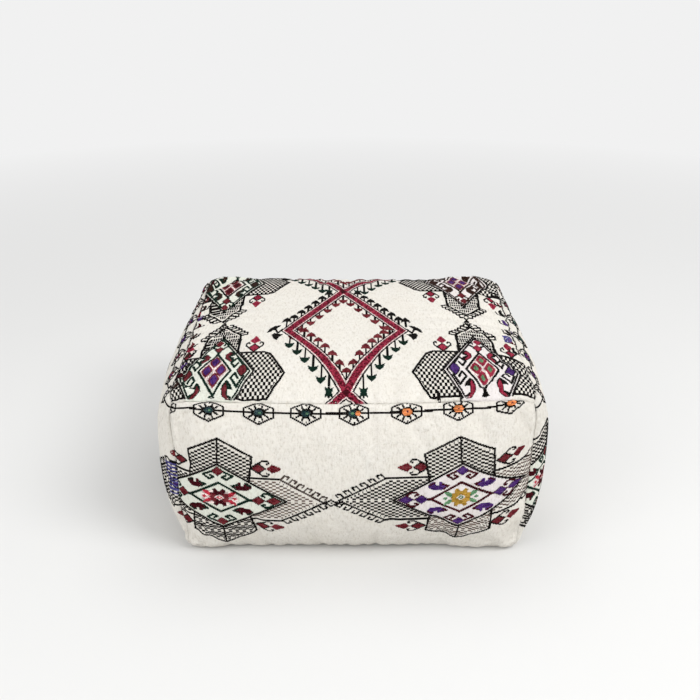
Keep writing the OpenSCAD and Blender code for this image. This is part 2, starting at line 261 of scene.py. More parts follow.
def softened(points, outward):
    """Rounds the top corners, which the filling doesn't reach, and pulls folds up from the lower ones."""
    moved = points + outward * lumps(points)[:, None]
    for way_x, way_y in ((-1, -1), (-1, 1), (1, -1), (1, 1)):
        corner = np.array([way_x * SEAM_W / 2, way_y * SEAM_D / 2, SEAM_H])
        near = hill(np.linalg.norm(points - corner, axis=1), EAR_WIDE)
        moved -= near[:, None] * np.array([way_x, way_y, EAR_SINK]) * EAR_ROUND
        away = points - corner + (way_x * FOOT_IN_X, way_y * FOOT_IN_Y, SEAM_H)
        side = np.abs(away[:, 0]) - np.abs(away[:, 1])
        angle = np.arctan2(away[:, 2], np.abs(side))
        fold = FOLD * np.sin(5 * angle + 1.1 * way_x + 0.7 * way_y + 0.6 * np.sign(side))
        bulge = BULGE * hill(away[:, 2] - 17, 12) - DIMPLE * hill(away[:, 2] - 56, 20)
        near = hill(np.hypot(away[:, 0], away[:, 1]), CORNER_WIDE)
        drag = fold * hill(np.linalg.norm(away, axis=1) - FOLD_AT, FOLD_WIDE)
        moved += outward * (near * bulge + drag)[:, None]
    x, y, z = points.T
    wave = np.sin(x / 37 + 1) + np.sin(y / 31) + np.sin((x - y) / 83)
    moved += outward * (HEM_WAVE * hill(z, HEM_TALL) * wave)[:, None]
    return moved


# %% Fill it with pressure
CREASE_CAP, CREASE_ROUNDS, FRAMES = 6.0, 30, 20
CLOTH = dict(
    quality=5, mass=0.3, tension_stiffness=12, compression_stiffness=12, shear_stiffness=4,
    bending_stiffness=0.6, vertex_group_mass="held", shrink_min=-0.02, use_pressure=True,
    uniform_pressure_force=4,
)


def filled(skin, start):
    """The skin's points after Cloth has filled it, with only the creases kept."""
    skin.data.vertices.foreach_set("co", (start * MM).ravel())
    held = skin.vertex_groups.new(name="held")
    seams = set(places["top"][[0, -1]].ravel()) | set(places["top"][:, [0, -1]].ravel())
    for side in SIDES:
        seams |= set(places[side][0]) | set(places[side][:, -1])
    held.add([int(k) for k in seams], 1.0, "REPLACE")
    cloth = skin.modifiers.new("cloth", "CLOTH")
    for name, value in CLOTH.items():
        setattr(cloth.settings, name, value)
    cloth.settings.effector_weights.gravity = 0
    cloth.collision_settings.use_collision = False
    for step in range(1, FRAMES + 1):
        bpy.context.scene.frame_set(step)
    shaped = skin.evaluated_get(bpy.context.evaluated_depsgraph_get())
    moved = read(shaped.data.vertices, "co", 3) / MM - start
    creases = moved - smoothed(moved, read(skin.data.edges, "vertices", 2, int).T, CREASE_ROUNDS)
    size = np.linalg.norm(creases, axis=1, keepdims=True)
    furthest = np.linalg.norm(moved, axis=1).max()
    print(f"cloth moved up to {furthest:.1f} mm, creases up to {size.max():.1f} mm")
    return start + creases * np.minimum(1, CREASE_CAP / np.maximum(size, 1e-6))


shape = softened(form, outward)
shape = filled(skin, shape)
shape[:, 2] = np.maximum(shape[:, 2], RIM_LIFT)
bpy.data.objects.remove(skin)
skin = mesh_object("skin", shape, skin_faces(places))
outward = facing_of(skin)
bpy.data.objects.remove(skin)
print("skin filled")

# %% [markdown]
# ## The loom
# The motifs are brocade: short floats of coloured yarn laid over a plain cream ground, row by row. An image
# would blur close up, so each panel gets a loom, which is a grid of small cells that each hold a yarn.
# Motifs are drawn on it with a pen in millimetres, and the cells then become raised floats of real yarn.

# %% Yarns
YARN_COLOURS = {
    "ink": (18, 14, 12), "soot": (66, 52, 45), "walnut": (56, 34, 27), "wine": (70, 10, 22),
    "crimson": (114, 12, 32), "ruby": (158, 22, 60), "scarlet": (198, 34, 62), "forest": (16, 44, 33),
    "teal": (18, 60, 66), "orange": (242, 146, 84), "violet": (72, 28, 118), "gold": (190, 148, 50),
    "sage": (98, 150, 106), "indigo": (82, 80, 150), "rose": (248, 230, 226), "dash": (24, 19, 16),
    "faded": (92, 72, 62),
}
YARN_NAMES = list(YARN_COLOURS)
(INK, SOOT, WALNUT, WINE, CRIMSON, RUBY, SCARLET, FOREST, TEAL, ORANGE, VIOLET, GOLD, SAGE, INDIGO,
 ROSE, DASH, FADED) = range(1, len(YARN_NAMES) + 1)
THIN_YARNS = (DASH, FADED)
MINT, LILAC = 1, 2
GROUND_COLOURS = [(242, 238, 230), (237, 240, 229), (243, 237, 236)]
print("yarns:", ", ".join(YARN_NAMES))


def linear(rgb):
    """A screen colour from 0 to 255 as the numbers that light works with."""
    share = np.asarray(rgb, float) / 255
    return np.where(share <= 0.04045, share / 12.92, ((share + 0.055) / 1.055) ** 2.4)


# %% The loom
class Loom:
    """A panel's cloth as a grid of cells; x and y are in millimetres of cloth."""

    def __init__(self, left, first, width, height, cell, turned=False, lift=None, bold=(1, 1)):
        self.turned, self.bold = turned, bold
        self.long = cell[1] if turned else cell[0]
        self.cols, self.rows = (2 * round(size / step / 2) for size, step in zip((width, height), cell))
        self.x = left + (np.arange(self.cols) + 0.5) * width / self.cols
        self.y = first + (np.arange(self.rows) + 0.5) * height / self.rows
        self.size = (width, height)
        self.lift = np.zeros(self.cols) if lift is None else lift(self.x)
        self.cells = np.zeros((self.cols, self.rows), np.uint8)
        self.field = np.zeros((self.cols, self.rows), np.uint8)

    @staticmethod
    def edge(middles, at):
        """The cell edge nearest to a place."""
        step = middles[1] - middles[0]
        return middles[0] + (round((at - middles[0]) / step - 0.5) + 0.5) * step

    def window(self, points, margin):
        """The part of the grid round some points, with the places that its cells have in the drawing."""
        low, high = points.min(0) - margin, points.max(0) + margin
        i0, i1 = np.searchsorted(self.x, [low[0], high[0]])
        j0, j1 = np.searchsorted(self.y, [low[1] - self.lift.max(), high[1]])
        part = (slice(i0, i1), slice(j0, j1))
        x, y = np.meshgrid(self.x[part[0]], self.y[part[1]], indexing="ij")
        return part, x, y + self.lift[part[0], None]


# %% Outlines and paths
def inside(x, y, points):
    """Which places lie within a closed outline."""
    within = np.zeros(x.shape, bool)
    for (x1, y1), (x2, y2) in zip(points, np.roll(points, -1, 0)):
        crosses = (y1 > y) != (y2 > y)
        within ^= crosses & (x < x1 + (x2 - x1) * (y - y1) / (y2 - y1 + 1e-12))
    return within


def beside(x, y, points, half):
    """Which places lie within a path's half widths along x and y."""
    near = np.zeros(x.shape, bool)
    points = points / half
    x, y = x / half[0], y / half[1]
    for (x1, y1), (x2, y2) in zip(points[:-1], points[1:]):
        dx, dy = x2 - x1, y2 - y1
        share = np.clip(((x - x1) * dx + (y - y1) * dy) / (dx * dx + dy * dy + 1e-12), 0, 1)
        near |= np.hypot(x - x1 - share * dx, y - y1 - share * dy) < 1
    return near


# %% The pen
class Pen:
    """Draws a motif round its own middle: p runs along the chain of motifs and q across it."""

    def __init__(self, loom, x, y, turned=False, p=1.0, q=1.0):
        self.loom, self.x, self.y, self.turned, self.p, self.q = loom, x, y, turned, p, q

    def mirrored(self, along=True, across=True):
        """This pen with each of its mirror images."""
        for p in (1, -1) if along else (1,):
            for q in (1, -1) if across else (1,):
                yield self.moved(0, 0, p, q)

    def moved(self, p, q, scale_p=1.0, scale_q=1.0):
        x, y = self.at([(p, q)])[0]
        return Pen(self.loom, x, y, self.turned, self.p * scale_p, self.q * scale_q)

    def at(self, points):
        points = np.asarray(points, float) * (self.p, self.q)
        return points[:, ::-1] + (self.x, self.y) if self.turned else points + (self.x, self.y)

    def within(self, points):
        """The part of the grid round an outline, its places, and which of them lie within the outline."""
        points = self.at(points)
        part, x, y = self.loom.window(points, 0)
        return part, x, y, inside(x, y, points)

    def fill(self, points, yarn):
        part, *_, within = self.within(points)
        self.loom.cells[part][within] = yarn

    def dye(self, points, field):
        part, *_, within = self.within(points)
        self.loom.field[part][within] = field

    def line(self, points, yarn, width=2.6):
        points = self.at(points)
        part, x, y = self.loom.window(points, 2 * width)
        half = np.multiply(self.loom.bold, width / 2 + 0.3)
        self.loom.cells[part][beside(x, y, points, half)] = yarn

    def loop(self, points, yarn, width=2.6):
        self.line(list(points) + [points[0]], yarn, width)

    def diamond(self, p, q, half_p, half_q, yarn):
        self.fill([(p - half_p, q), (p, q - half_q), (p + half_p, q), (p, q + half_q)], yarn)

    def checks(self, points, yarn, dash, pitch, start=(0, 0)):
        """Fills an outline with dashes in brick order; a thin yarn takes one cell of each row."""
        part, x, y, within = self.within(points)
        middle_x, middle_y = self.at([start])[0]
        x, y = x - self.loom.edge(self.loom.x, middle_x), y - self.loom.edge(self.loom.y, middle_y)
        p, q = (y, x) if self.turned else (x, y)
        p, q = p * np.sign(self.p), q * np.sign(self.q)
        column, row = np.floor(p / dash), np.floor(q / pitch)
        dark = (column + row) % 2 == 0
        if yarn in THIN_YARNS:
            dark &= q - row * pitch < pitch / 2
        self.loom.cells[part][dark & within] = yarn

    def rows(self, points, yarn, dash, pitch):
        """Fills an outline with rows of short dashes that stand side by side."""
        part, x, y, within = self.within(points)
        p, q = (y, x) if self.turned else (x, y)
        dark = (p / dash % 2 < 1.3) & (q / pitch % 1 < 0.7)
        self.loom.cells[part][dark & within] = yarn

    def mottle(self, points, yarn, other, share, seed):
        """Turns patches of one yarn within an outline into another."""
        part, *_, within = self.within(points)
        speck = np.random.default_rng(seed).random(within.shape)
        soft = speck + np.roll(speck, 1, 0) + np.roll(speck, 1, 1) + np.roll(speck, (1, 1), (0, 1))
        cells = self.loom.cells[part]
        cells[within & (cells == yarn) & (soft < 4 * share)] = other


# %% [markdown]
# ## The motifs
# Kilim motifs repeat a few small signs: hooked diamonds, stars, combs and arrows. Each sign is drawn once,
# and its mirror images complete it. Their sizes are those of the cloth, so a motif on the top differs
# from one on the front only by its measures and its yarns.

# %% Small signs
FRONT_DASH, FRONT_PITCH = 6.0, 3.3
TOP_DASH, TOP_PITCH = 9.4, 4.15


def ring(half_p, half_q):
    return [(half_p, 0), (0, half_q), (-half_p, 0), (0, -half_q)]


def twin_buds(pen, yarn, leaf):
    """Two buds on a stem, with a hook on each side between them; the stem starts at the middle."""
    for side in pen.mirrored(along=False):
        side.line([(14, -8), (22, -13.5), (29.5, -13), (32.5, -9.5), (28, -8.5)], leaf, 2.1)
    pen.fill([(-1, 0), (14, -10.2), (28.5, 0), (14, 10.2)], leaf)
    pen.fill([(3.5, 0), (14, -7.2), (25, 0), (14, 7.2)], yarn)
    pen.fill([(28, 0), (37, -8), (45, -4.6), (52, -1.2), (52, 1.2), (45, 4.6), (37, 8)], yarn)


def boat(pen, yarn, tip):
    """A boat with two horns; its prow points to the middle of the medallion."""
    hull = [(-20, -1), (-12, -4), (-6, -9), (-3, -8.5), (-3, -3), (2, -3), (2.5, -8.5), (7, -9)]
    pen.fill(hull + [(15, -4), (15, 0), (9, 5), (-7, 7), (-13, 4)], yarn)
    pen.line([(-19, -1), (-9, -4)], tip, 2.4)
    pen.line([(-19, -1), (-12, 4)], tip, 2.4)
    pen.line([(4, -7), (13, -3)], tip, 2.4)


def star(pen, tall, wide, arm, halo, middle):
    """Eight petals, four tall and four wide, round a small ring."""
    if halo:
        pen.fill([(-32, 0), (-28, -12), (28, -12), (32, 0), (28, 12), (-28, 12)], halo)
        pen.fill([(-11, -12), (11, -12), (11, 12), (-11, 12)], halo)
    for side in pen.mirrored():
        side.fill([(0, -3), (5, -3), (10, -8), (11, -15), (6, -17.5), (2.5, -13), (0, -12)], tall)
        side.fill([(5, 0), (5, -5), (9, -9), (16.5, -8), (15, -3), (17, 0)], wide)
        side.fill([(15, -2), (15.5, -8), (20, -11.5), (29, -12.5), (26, -7), (20, -3)], arm)
    for side in pen.mirrored(across=False):
        side.diamond(26, 0, 4.4, 3.2, arm)
    pen.diamond(0, 0, 8.4, 5.6, halo)
    pen.diamond(0, 0, 5.4, 3.8, middle)
    pen.diamond(0, 0, 2.2, 1.7, halo)


def arrow(pen, head, stem=20, tip=19):
    """An arrow with a domed head on a stem; it stands on the middle and points up."""
    pen.line([(0, 0), (0, stem)], INK, 2.9)
    barbs = [(-9, stem - 4), (-4, stem + 0.5), (0, stem), (4, stem + 0.5), (9, stem - 4)]
    pen.fill(barbs + [(6.6, stem + 0.5 * tip), (0, stem + tip), (-6.6, stem + 0.5 * tip)], head)


# %% Suns
def sun(pen, core):
    """A hexagon with a rayed sun; core lists the yarns of the sun from the rim inwards."""
    pen.loop([(0, -20), (23.5, -8), (23.5, 7.5), (0, 20), (-23.5, 7.5), (-23.5, -8)], INK, 2.3)
    for side in pen.mirrored():
        side.line([(2, 1), (6.4, 12.5)], INK, 2.6)
        side.line([(6, 1), (15, 7.5)], INK, 2.6)
    pen.fill([(13, 0), (5, 5), (2, 9.5), (-5, 7), (-12, 2), (-12, -3), (-4, -6), (0, -9), (7, -8)], INK)
    for half_p, half_q, yarn, shift in core:
        pen.fill([(shift + p * half_p, q * half_q) for p, q in SUN_RIM], yarn)
    for side in pen.mirrored(along=False):
        side.diamond(1, 15.5, 2, 1.9, INK)


SUN_RIM = [(1, 0), (0.6, 0.9), (-0.6, 0.9), (-1, 0), (-0.6, -0.9), (0.6, -0.9)]
BLUE_SUN = [(7.6, 5.6, TEAL, 0), (2.2, 1.6, SAGE, 2)]
ORANGE_SUN = [(8.8, 6.4, ORANGE, 0.5), (1.8, 1.6, CRIMSON, 1)]
MIXED_SUN = [(7.6, 5.6, TEAL, -1), (2.6, 2.4, SAGE, -2), (4.6, 3.8, ORANGE, 6.5)]
VIOLET_SUN = [(9, 6.6, VIOLET, 0), (3, 2.6, CRIMSON, 1)]
CRIMSON_SUN = [(9, 6.6, CRIMSON, 0), (3, 2.6, VIOLET, 1)]


def sun_row(loom, spots):
    """Suns at their places, joined by a line."""
    Pen(loom, 0, 0).line([(x, y) for x, y, core in spots], INK, 3.2)
    for x, y, core in spots:
        sun(Pen(loom, x, y), core)


# %% Wings
LEFT_WINGS = [
    [(3, -108), (-47, -85), (-49, -39), (0, -64)], [(3, -108), (58, -79), (52, -36), (0, -64)],
    [(-4, 105), (-56, 79), (-49, 39), (0, 62)], [(-4, 105), (55, 77), (50, 37), (0, 62)],
]
RIGHT_WINGS = [
    [(-6, -109), (-63, -81), (-54, -35), (-2, -62)], [(-6, -109), (50, -83), (54, -35), (-2, -62)],
    [(3, 100), (-54, 73), (-51, 35), (2, 60), FADED], [(3, 100), (56, 74), (54, 33), (2, 60), FADED],
]
HOOKS, HOOK_SPACES = 6, 5.75
LOW_PITCH, BARE_EDGE = 0.86 * FRONT_PITCH, 4.5


def wing(pen, apex, corner, foot, middle, yarn=DASH):
    """Half of a wing across the chain: a slanted board of dashes beside the line down its middle."""
    way = 1 if corner[0] > apex[0] else -1
    side = pen.moved(0, 0, way, 1)
    board = [(way * p, q) for p, q in (apex, corner, foot, middle)]
    fine, edge = (FRONT_PITCH, BARE_EDGE) if apex[1] < 0 else (LOW_PITCH, -BARE_EDGE)
    side.checks(board, yarn, FRONT_DASH, fine, (way * middle[0] + 1, 0))
    (p1, q1), (p2, q2) = board[:2]
    side.fill([(p1, q1), (p2, q2), (p2, q2 + edge), (p1, q1 + edge)], 0)
    pen.line([apex, corner, foot], INK, 2.9)
    pen.line([apex, middle], INK, 2.4)


def long_wing(pen, corner, tip, yarn, edge):
    """Half of a wing along the chain, with a comb of hooks on its slanted edge."""
    board = [(50, -37), (corner - 2, -37), (tip - 5, 0), (108, 0)]
    pen.checks(board, yarn, FRONT_DASH, FRONT_PITCH, (1, 0))
    pen.line([(50, -42), (corner, -42)], INK, 3.1)
    pen.line([(corner, -41), (tip + 3, 0)], edge, 2.5)
    for k in range(HOOKS):
        share = k / HOOK_SPACES
        p, q = corner + share * (tip + 3 - corner), 41 * share - 41
        pen.line([(p, q), (p + 7.5, q - 7.5), (p + 15, q - 5), (p + 11, q - 0.6)], edge, 2.1)


# %% The medallion of the sides
def medallion(pen, wings, line, bud, leaf, prow, hull, centre, far, field, pale=()):
    """A diamond of hooked signs within four wings. far holds the corner and the tip of each long wing."""
    for side in pen.mirrored():
        way_p, way_q = int(side.p * pen.p), int(side.q * pen.q)
        corner, tip = far[0] if way_p > 0 else far[1]
        faded = (way_p, way_q) in pale
        long_wing(side, corner, tip, FADED if faded else DASH, SOOT if faded and way_q > 0 else INK)
        twin_buds(side.moved(54, -60), CRIMSON, INK)
    pen.fill(ring(114, 63), 0)
    for half in wings:
        wing(pen, *half)
    pen.fill(ring(109, 59.5), 0)
    pen.dye(ring(112, 61), field)
    pen.loop(ring(113, 62.5), INK, 2.9)
    pen.loop(ring(51, 28.5), line, 3.6)
    for side in pen.mirrored(across=False):
        side.line([(50, 0), (60, 0)], leaf, 3.6)
        for low in side.mirrored(along=False):
            low.line([(91, -7.5), (83, -13.6), (76, -13.6), (71.5, -9.6), (77, -7.2)], leaf, 3)
        side.diamond(92, 0, 15, 8.6, leaf)
        side.diamond(92, 0, 12.5, 7.2, bud)
        side.diamond(66, 0, 12.5, 9.2, leaf)
        side.diamond(66, 0, 10.8, 8, bud)
    for side in pen.mirrored():
        side.line([(8, -50), (25, -42.5), (14.5, -35), (7, -39), (13, -42.5)], leaf, 3.1)
        boat(side.moved(41, -23), hull, prow)
    for side in pen.mirrored(along=False):
        side.diamond(0, -50, 11.5, 9.2, leaf)
        side.diamond(0, -50, 9.8, 8, bud)
    centre(pen)


def crossing(pen):
    """The knot between two medallions of a chain."""
    pen.loop(ring(8.4, 6.8), INK, 2)
    pen.diamond(0, 0, 2, 1.7, INK)
    for side in pen.mirrored():
        side.line([(8, 3.4), (13, 0), (19, -4)], INK, 2)


# %% The medallion of the top
LOZENGES = ((33, -1), (1.5, -11.5), (1.5, 11.5), (-30, 3))


def plump(pen, p, q, half_p, half_q, yarn):
    """A lozenge with full sides."""
    quarter = [(1, 0), (0.58, 0.55), (0, 1)]
    rim = [(a, b) for a, b in quarter] + [(-a, b) for a, b in quarter[::-1]]
    rim += [(-a, -b) for a, b in quarter] + [(a, -b) for a, b in quarter[::-1]]
    pen.fill([(p + a * half_p, q + b * half_q) for a, b in rim], yarn)


def top_medallion(pen, line, bud, leaf, heart, field, hull, arms):
    """The same sign at the top's measures: p points to the middle of the cushion, q to the red lozenge."""
    pen.dye([(143, -2), (66, 33), (-4, 64), (-110, 34), (-110, -34), (-4, -66), (66, -36)], field)
    for side in pen.mirrored(along=False):
        board = [(64, 36), (64, 78), (56, 88), (-10, 114), (-83, 90), (-83, 44), (-4, 68)]
        side.checks(board, INK, TOP_DASH, TOP_PITCH, (-10, 1))
        side.line([(66, 33), (66, 78), (57, 90), (-10, 117), (-86, 92), (-86, 42)], INK, 3.2)
        side.line([(66, 33), (143, 31)], INK, 4.2)
        side.line([(143, 31), (188, -3)], INK, 2.6)
        side.rows([(78, 30), (138, 28), (176, 0), (146, 0)], INK, TOP_DASH * 0.6, TOP_PITCH)
        side.line([(146, -2), (66, 34), (-4, 66), (-90, 40)], INK, 2.5)
        side.line([(136, -2), (62, 30), (-4, 60), (-90, 35)], leaf, 2.3)
        for k in range(HOOKS):
            p, q = 141 + 8 * k, 33 - 6 * k
            side.line([(p, q), (p + 3, q + 10), (p + 13, q + 9), (p + 13, q + 4)], INK, 2.4)
        twin_buds(side.moved(66, 60, 1.25, 1.1), RUBY, INK)
        side.line([(17, 47), (46, 36), (27, 26), (11, 33), (25, 38)], leaf, 3.2)
        side.line([(-20, 51), (-51, 42), (-26, 30), (-10, 36), (-27, 42)], leaf, 3.2)
        plump(side, 0, 47, 24, 9.6, leaf)
        plump(side, 0, 47, 19.5, 7.6, arms)
        side.fill([(73, 21), (66, 28), (56, 29), (51, 22), (46, 29), (36, 30), (30, 25), (44, 14),
                   (60, 13)], leaf)
        side.fill([(70, 20), (62, 25), (51, 19), (36, 26), (32, 24), (44, 15), (60, 14)], hull)
        side.fill([(-32, 25), (-46, 33), (-58, 36), (-57, 27), (-72, 27), (-82, 35), (-92, 36), (-92, 27),
                   (-76, 19), (-58, 17), (-42, 19)], leaf)
        side.fill([(-38, 24), (-55, 26), (-72, 25), (-92, 33), (-92, 28), (-76, 20), (-58, 18)], hull)
        side.line([(90, 5), (98, 13), (108, 13), (112, 8), (104, 6)], leaf, 2.9)
    pen.fill([(59, -1), (1, 24.5), (-57, 3), (1, -24.5)], ROSE)
    yarn, half_p, half_q = heart
    for p, q in LOZENGES:
        plump(pen, p, q, 23.5, 9.8, bud)
        plump(pen, p, q, half_p, half_q, yarn)
    pen.loop([(65, -1), (-2, 28), (-72, 4), (4, -27)], line, 3.2)
    pen.fill([(60, 0), (76, -4), (76, 4)], leaf)
    pen.fill([(-66, 3), (-86, -3), (-90, 3), (-86, 9)], leaf)
    pen.diamond(86, -1, 15, 9, leaf)
    pen.diamond(86, -1, 13, 7.6, bud)
    pen.diamond(113, -3, 13, 7, bud)


# %% [markdown]
# ## Weaving the panels
# The front has two medallions in a chain that runs across it, under a row of suns. The top is cut from
# the same cloth turned a quarter: a chain near each side seam, and a large red lozenge between them. The
# three panels that face away continue the design in the way that such covers do, cut from one length.

# %% Front panel
SIDE_CELL = (FRONT_DASH / 4, FRONT_PITCH / 2)


def front_lift(x):
    """The weave climbs towards the right corner, as the cloth was sewn in."""
    return 24 * np.maximum(0, (x - 195) / 95) ** 2


def red_star(pen):
    star(pen, WINE, CRIMSON, SCARLET, ROSE, SCARLET)


def gold_star(pen):
    star(pen, GOLD, GOLD, SAGE, 0, SAGE)


LEFT_LOOK = dict(
    line=FOREST, bud=CRIMSON, leaf=FOREST, prow=FOREST, hull=WINE,
    centre=red_star, field=MINT, wings=LEFT_WINGS,
)
RIGHT_LOOK = dict(
    line=WINE, bud=VIOLET, leaf=WINE, prow=WINE, hull=VIOLET,
    centre=gold_star, field=LILAC, wings=RIGHT_WINGS,
)
looms = {"front": Loom(-WIDTH / 2, 0, WIDTH, HEIGHT, SIDE_CELL, lift=front_lift)}
front = looms["front"]
sun_row(front, [
    (-316, 17, BLUE_SUN), (-232, 20, BLUE_SUN), (-151, 20.5, BLUE_SUN), (-75, 19.5, BLUE_SUN),
    (2, 19, MIXED_SUN), (87, 17, ORANGE_SUN), (170, 14, ORANGE_SUN), (256, 17, ORANGE_SUN),
    (345, 20, ORANGE_SUN),
])
FADED_WINGS = ((1, -1), (1, 1))
medallion(Pen(front, -222, 176), far=((104, 172), (104, 172)), pale=FADED_WINGS, **LEFT_LOOK)
medallion(Pen(front, 180, 171), far=((108, 180), (126, 200)), pale=FADED_WINGS, **RIGHT_LOOK)
crossing(Pen(front, -35, 176))
print("front loom:", front.cols, "x", front.rows, "cells,", int((front.cells > 0).sum()), "with yarn")

# %% The red lozenges of the top
LOZENGES_AT = (
    {"left": (-104, -410), "right": (84, -410), "up": (-10, -267), "low": (-10, -600)},
    {"left": (-118, 290), "right": (86, 292), "up": (-17, 430), "low": (-17, 147)},
    {"left": (-115, -50), "right": (89, -48), "up": (-17, 147), "low": (-10, -267)},
)
BAND = ((13.2, INK), (10.2, ROSE), (7.6, RUBY))


def bend(start, end):
    """An arm's path: the lower arms bow a little to the inside, as the cloth was pulled over the edge."""
    (x1, y1), (x2, y2) = start, end
    bow = 11 * np.sign(x2 - x1) if y2 < y1 else 0
    share = np.linspace(0, 1, 9)
    return x1 + share * (x2 - x1) + bow * np.sin(np.pi * share), y1 + share * (y2 - y1)


def arrows_on(loom, start, end, way, head, first, step, stems=(19, 19), past=-7):
    """A row of upright arrows along an arm, with stems that change along it; way is 1 above the arm."""
    x, y = bend(start, end)
    span = abs(end[0] - start[0])
    for from_end in np.arange(first, span + past, step):
        at = end[0] - np.sign(end[0] - start[0]) * from_end
        order = np.argsort(x)
        height = np.interp(at, x[order], y[order])
        stem = stems[0] + (stems[1] - stems[0]) * from_end / span
        arrow(Pen(loom, at, height + way * 19, q=way), head, stem)


def lozenge(loom, spot, arrows=True):
    """A red lozenge with arrows inside and outside; spot gives its four corners."""
    arms = [(spot[side], spot[end]) for side in ("left", "right") for end in ("up", "low")]
    for start, end in arms if arrows else ():
        way = 1 if end[1] > start[1] else -1
        if way > 0:
            arrows_on(loom, start, end, 1, INK, 28, 12.4, (17, 22), 9)
            arrows_on(loom, start, end, -1, CRIMSON, 14, 15, (19, 19))
        else:
            arrows_on(loom, start, end, -1, FOREST, 41.6, 14.5, (62, 26), 6)
            arrows_on(loom, start, end, 1, CRIMSON, 11.5, 12.8 if start[0] < end[0] else 11, (32, 17))
            out = 28 if start[0] > end[0] else -28
            tip = Pen(loom, end[0] + out, end[1] + 3, p=0.8)
            tip.line([(0, 44), (0, 12)], INK, 3)
            arrow(tip.moved(0, 8, 1, -1), FOREST, 2, 19)
            arrow(tip.moved(0, -18), FOREST, 2, 19)
        arrow(Pen(loom, end[0], end[1] - way * 24, q=-way), CRIMSON, 24 if way > 0 else 36)
    x, y = np.meshgrid(loom.x, loom.y, indexing="ij")
    for half, yarn in BAND:
        for start, end in arms:
            path_x, path_y = bend(start, end)
            order = np.argsort(path_y)
            middle = np.interp(y, path_y[order], path_x[order])
            run = (path_y.min() <= y) & (y < path_y.max())
            loom.cells[run & (np.abs(x - middle) < half)] = yarn
    for end in ("up", "low"):
        Pen(loom, *spot[end]).fill(ring(7, 12), WINE)
    rim = [spot["left"], spot["up"], spot["right"], spot["low"]]
    middle = np.mean(rim, 0)
    wide = [tuple(middle + 1.25 * (np.array(corner) - middle)) for corner in rim]
    Pen(loom, 0, 0).mottle(wide, RUBY, WINE, 0.42, 3)
    for side, way in (("left", -1), ("right", 1)):
        x, y = spot[side]
        pen = Pen(loom, x, y, p=way)
        pen.line([(10, 6), (18, -10), (23, 8)], INK, 2.8)
        pen.fill([(13, 24), (24, 22), (33, 10), (38, -8), (31, -4), (27, 4), (22, 2), (20, 12)], INK)
        pen.fill([(8, -16), (16, -14), (24, -10), (28, -18), (24, -34), (18, -40), (15, -28)], INK)


# %% Weave the top
looms["top"] = Loom(
    -SEAM_W / 2, -SEAM_D / 2, SEAM_W, SEAM_D, (TOP_PITCH / 3, TOP_DASH / 5), turned=True, bold=(1, 1.45)
)
top = looms["top"]
for k, spot in enumerate(LOZENGES_AT):
    lozenge(top, spot, arrows=k > 0)
for x, y, way_p, way_q, line, leaf, bud, arms, hull, heart, field in (
    (-230, -203, 1, 1, FOREST, FOREST, CRIMSON, CRIMSON, CRIMSON, (VIOLET, 16, 6.4), MINT),
    (-244, 205, -1, 1, INK, FOREST, CRIMSON, WALNUT, WALNUT, (WINE, 16, 6.4), MINT),
    (217, -200, 1, -1, INK, INK, RUBY, VIOLET, RUBY, (SAGE, 11, 4.4), LILAC),
    (214, 222, -1, -1, WALNUT, WALNUT, CRIMSON, WALNUT, WALNUT, (VIOLET, 15, 6), LILAC),
):
    top_medallion(Pen(top, x, y, True, way_p, way_q), line, bud, leaf, heart, field, hull, arms)
for x, y in ((-236, -14), (214, 4)):
    crossing(Pen(top, x, y, True, 1.3, 1.1))


# %% The borders of the top
def border_signs(loom, x, first, last, step, yarns):
    """A running border beside a side seam: hooked buds on a stepped line."""
    pen = Pen(loom, x, 0, p=1 if x > 0 else -1)
    for k, y in enumerate(np.arange(first, last, step)):
        mark = pen.moved(0, y)
        yarn, other = yarns[k % len(yarns)], yarns[(k + 1) % len(yarns)]
        mark.line([(0, 0), (-5, 8), (3, 16), (-3, 26), (0, step)], INK, 2.4)
        mark.fill([(-3, 3), (-12, 10), (-15, 22), (-9, 30), (-8, 20), (-3, 14)], yarn)
        mark.line([(-8, 5), (-18, 8), (-20, 18)], INK, 2.2)
        mark.fill([(5, 20), (11, 27), (9, 38), (2, 33)], other)


border_signs(top, -300, -260, 270, 44, (WALNUT, WINE, VIOLET, WALNUT, CRIMSON))
border_signs(top, 299, -110, 190, 44, (INK, CRIMSON, INK, VIOLET))
for k in range(5):
    Pen(top, 276, -40).line([(3.2 * k, 6 + 2 * k), (3.2 * k + 3, -16 + 2 * k)], INDIGO, 2.2)
Pen(top, 276, -40).line([(0, 4), (14, 14)], INDIGO, 3)
for x in (138, 173):
    Pen(top, x, 0).line([(0, -274), (1, -298)], INK, 4)
print("top loom:", top.cols, "x", top.rows, "cells,", int((top.cells > 0).sum()), "with yarn")

# %% Side and back panels
def chain(loom, spots, looks, suns, row_y, middle_y):
    """The front's design with its medallions at other places along the cloth."""
    sun_row(loom, [(x, row_y, suns[k // 2 % len(suns)]) for k, x in enumerate(np.arange(-330, 331, 82.5))])
    for x, look in zip(spots, looks):
        medallion(Pen(loom, x, middle_y), far=((106, 176), (106, 176)), **look)
    for x in np.convolve(spots, [0.5, 0.5], "valid"):
        crossing(Pen(loom, x, middle_y))


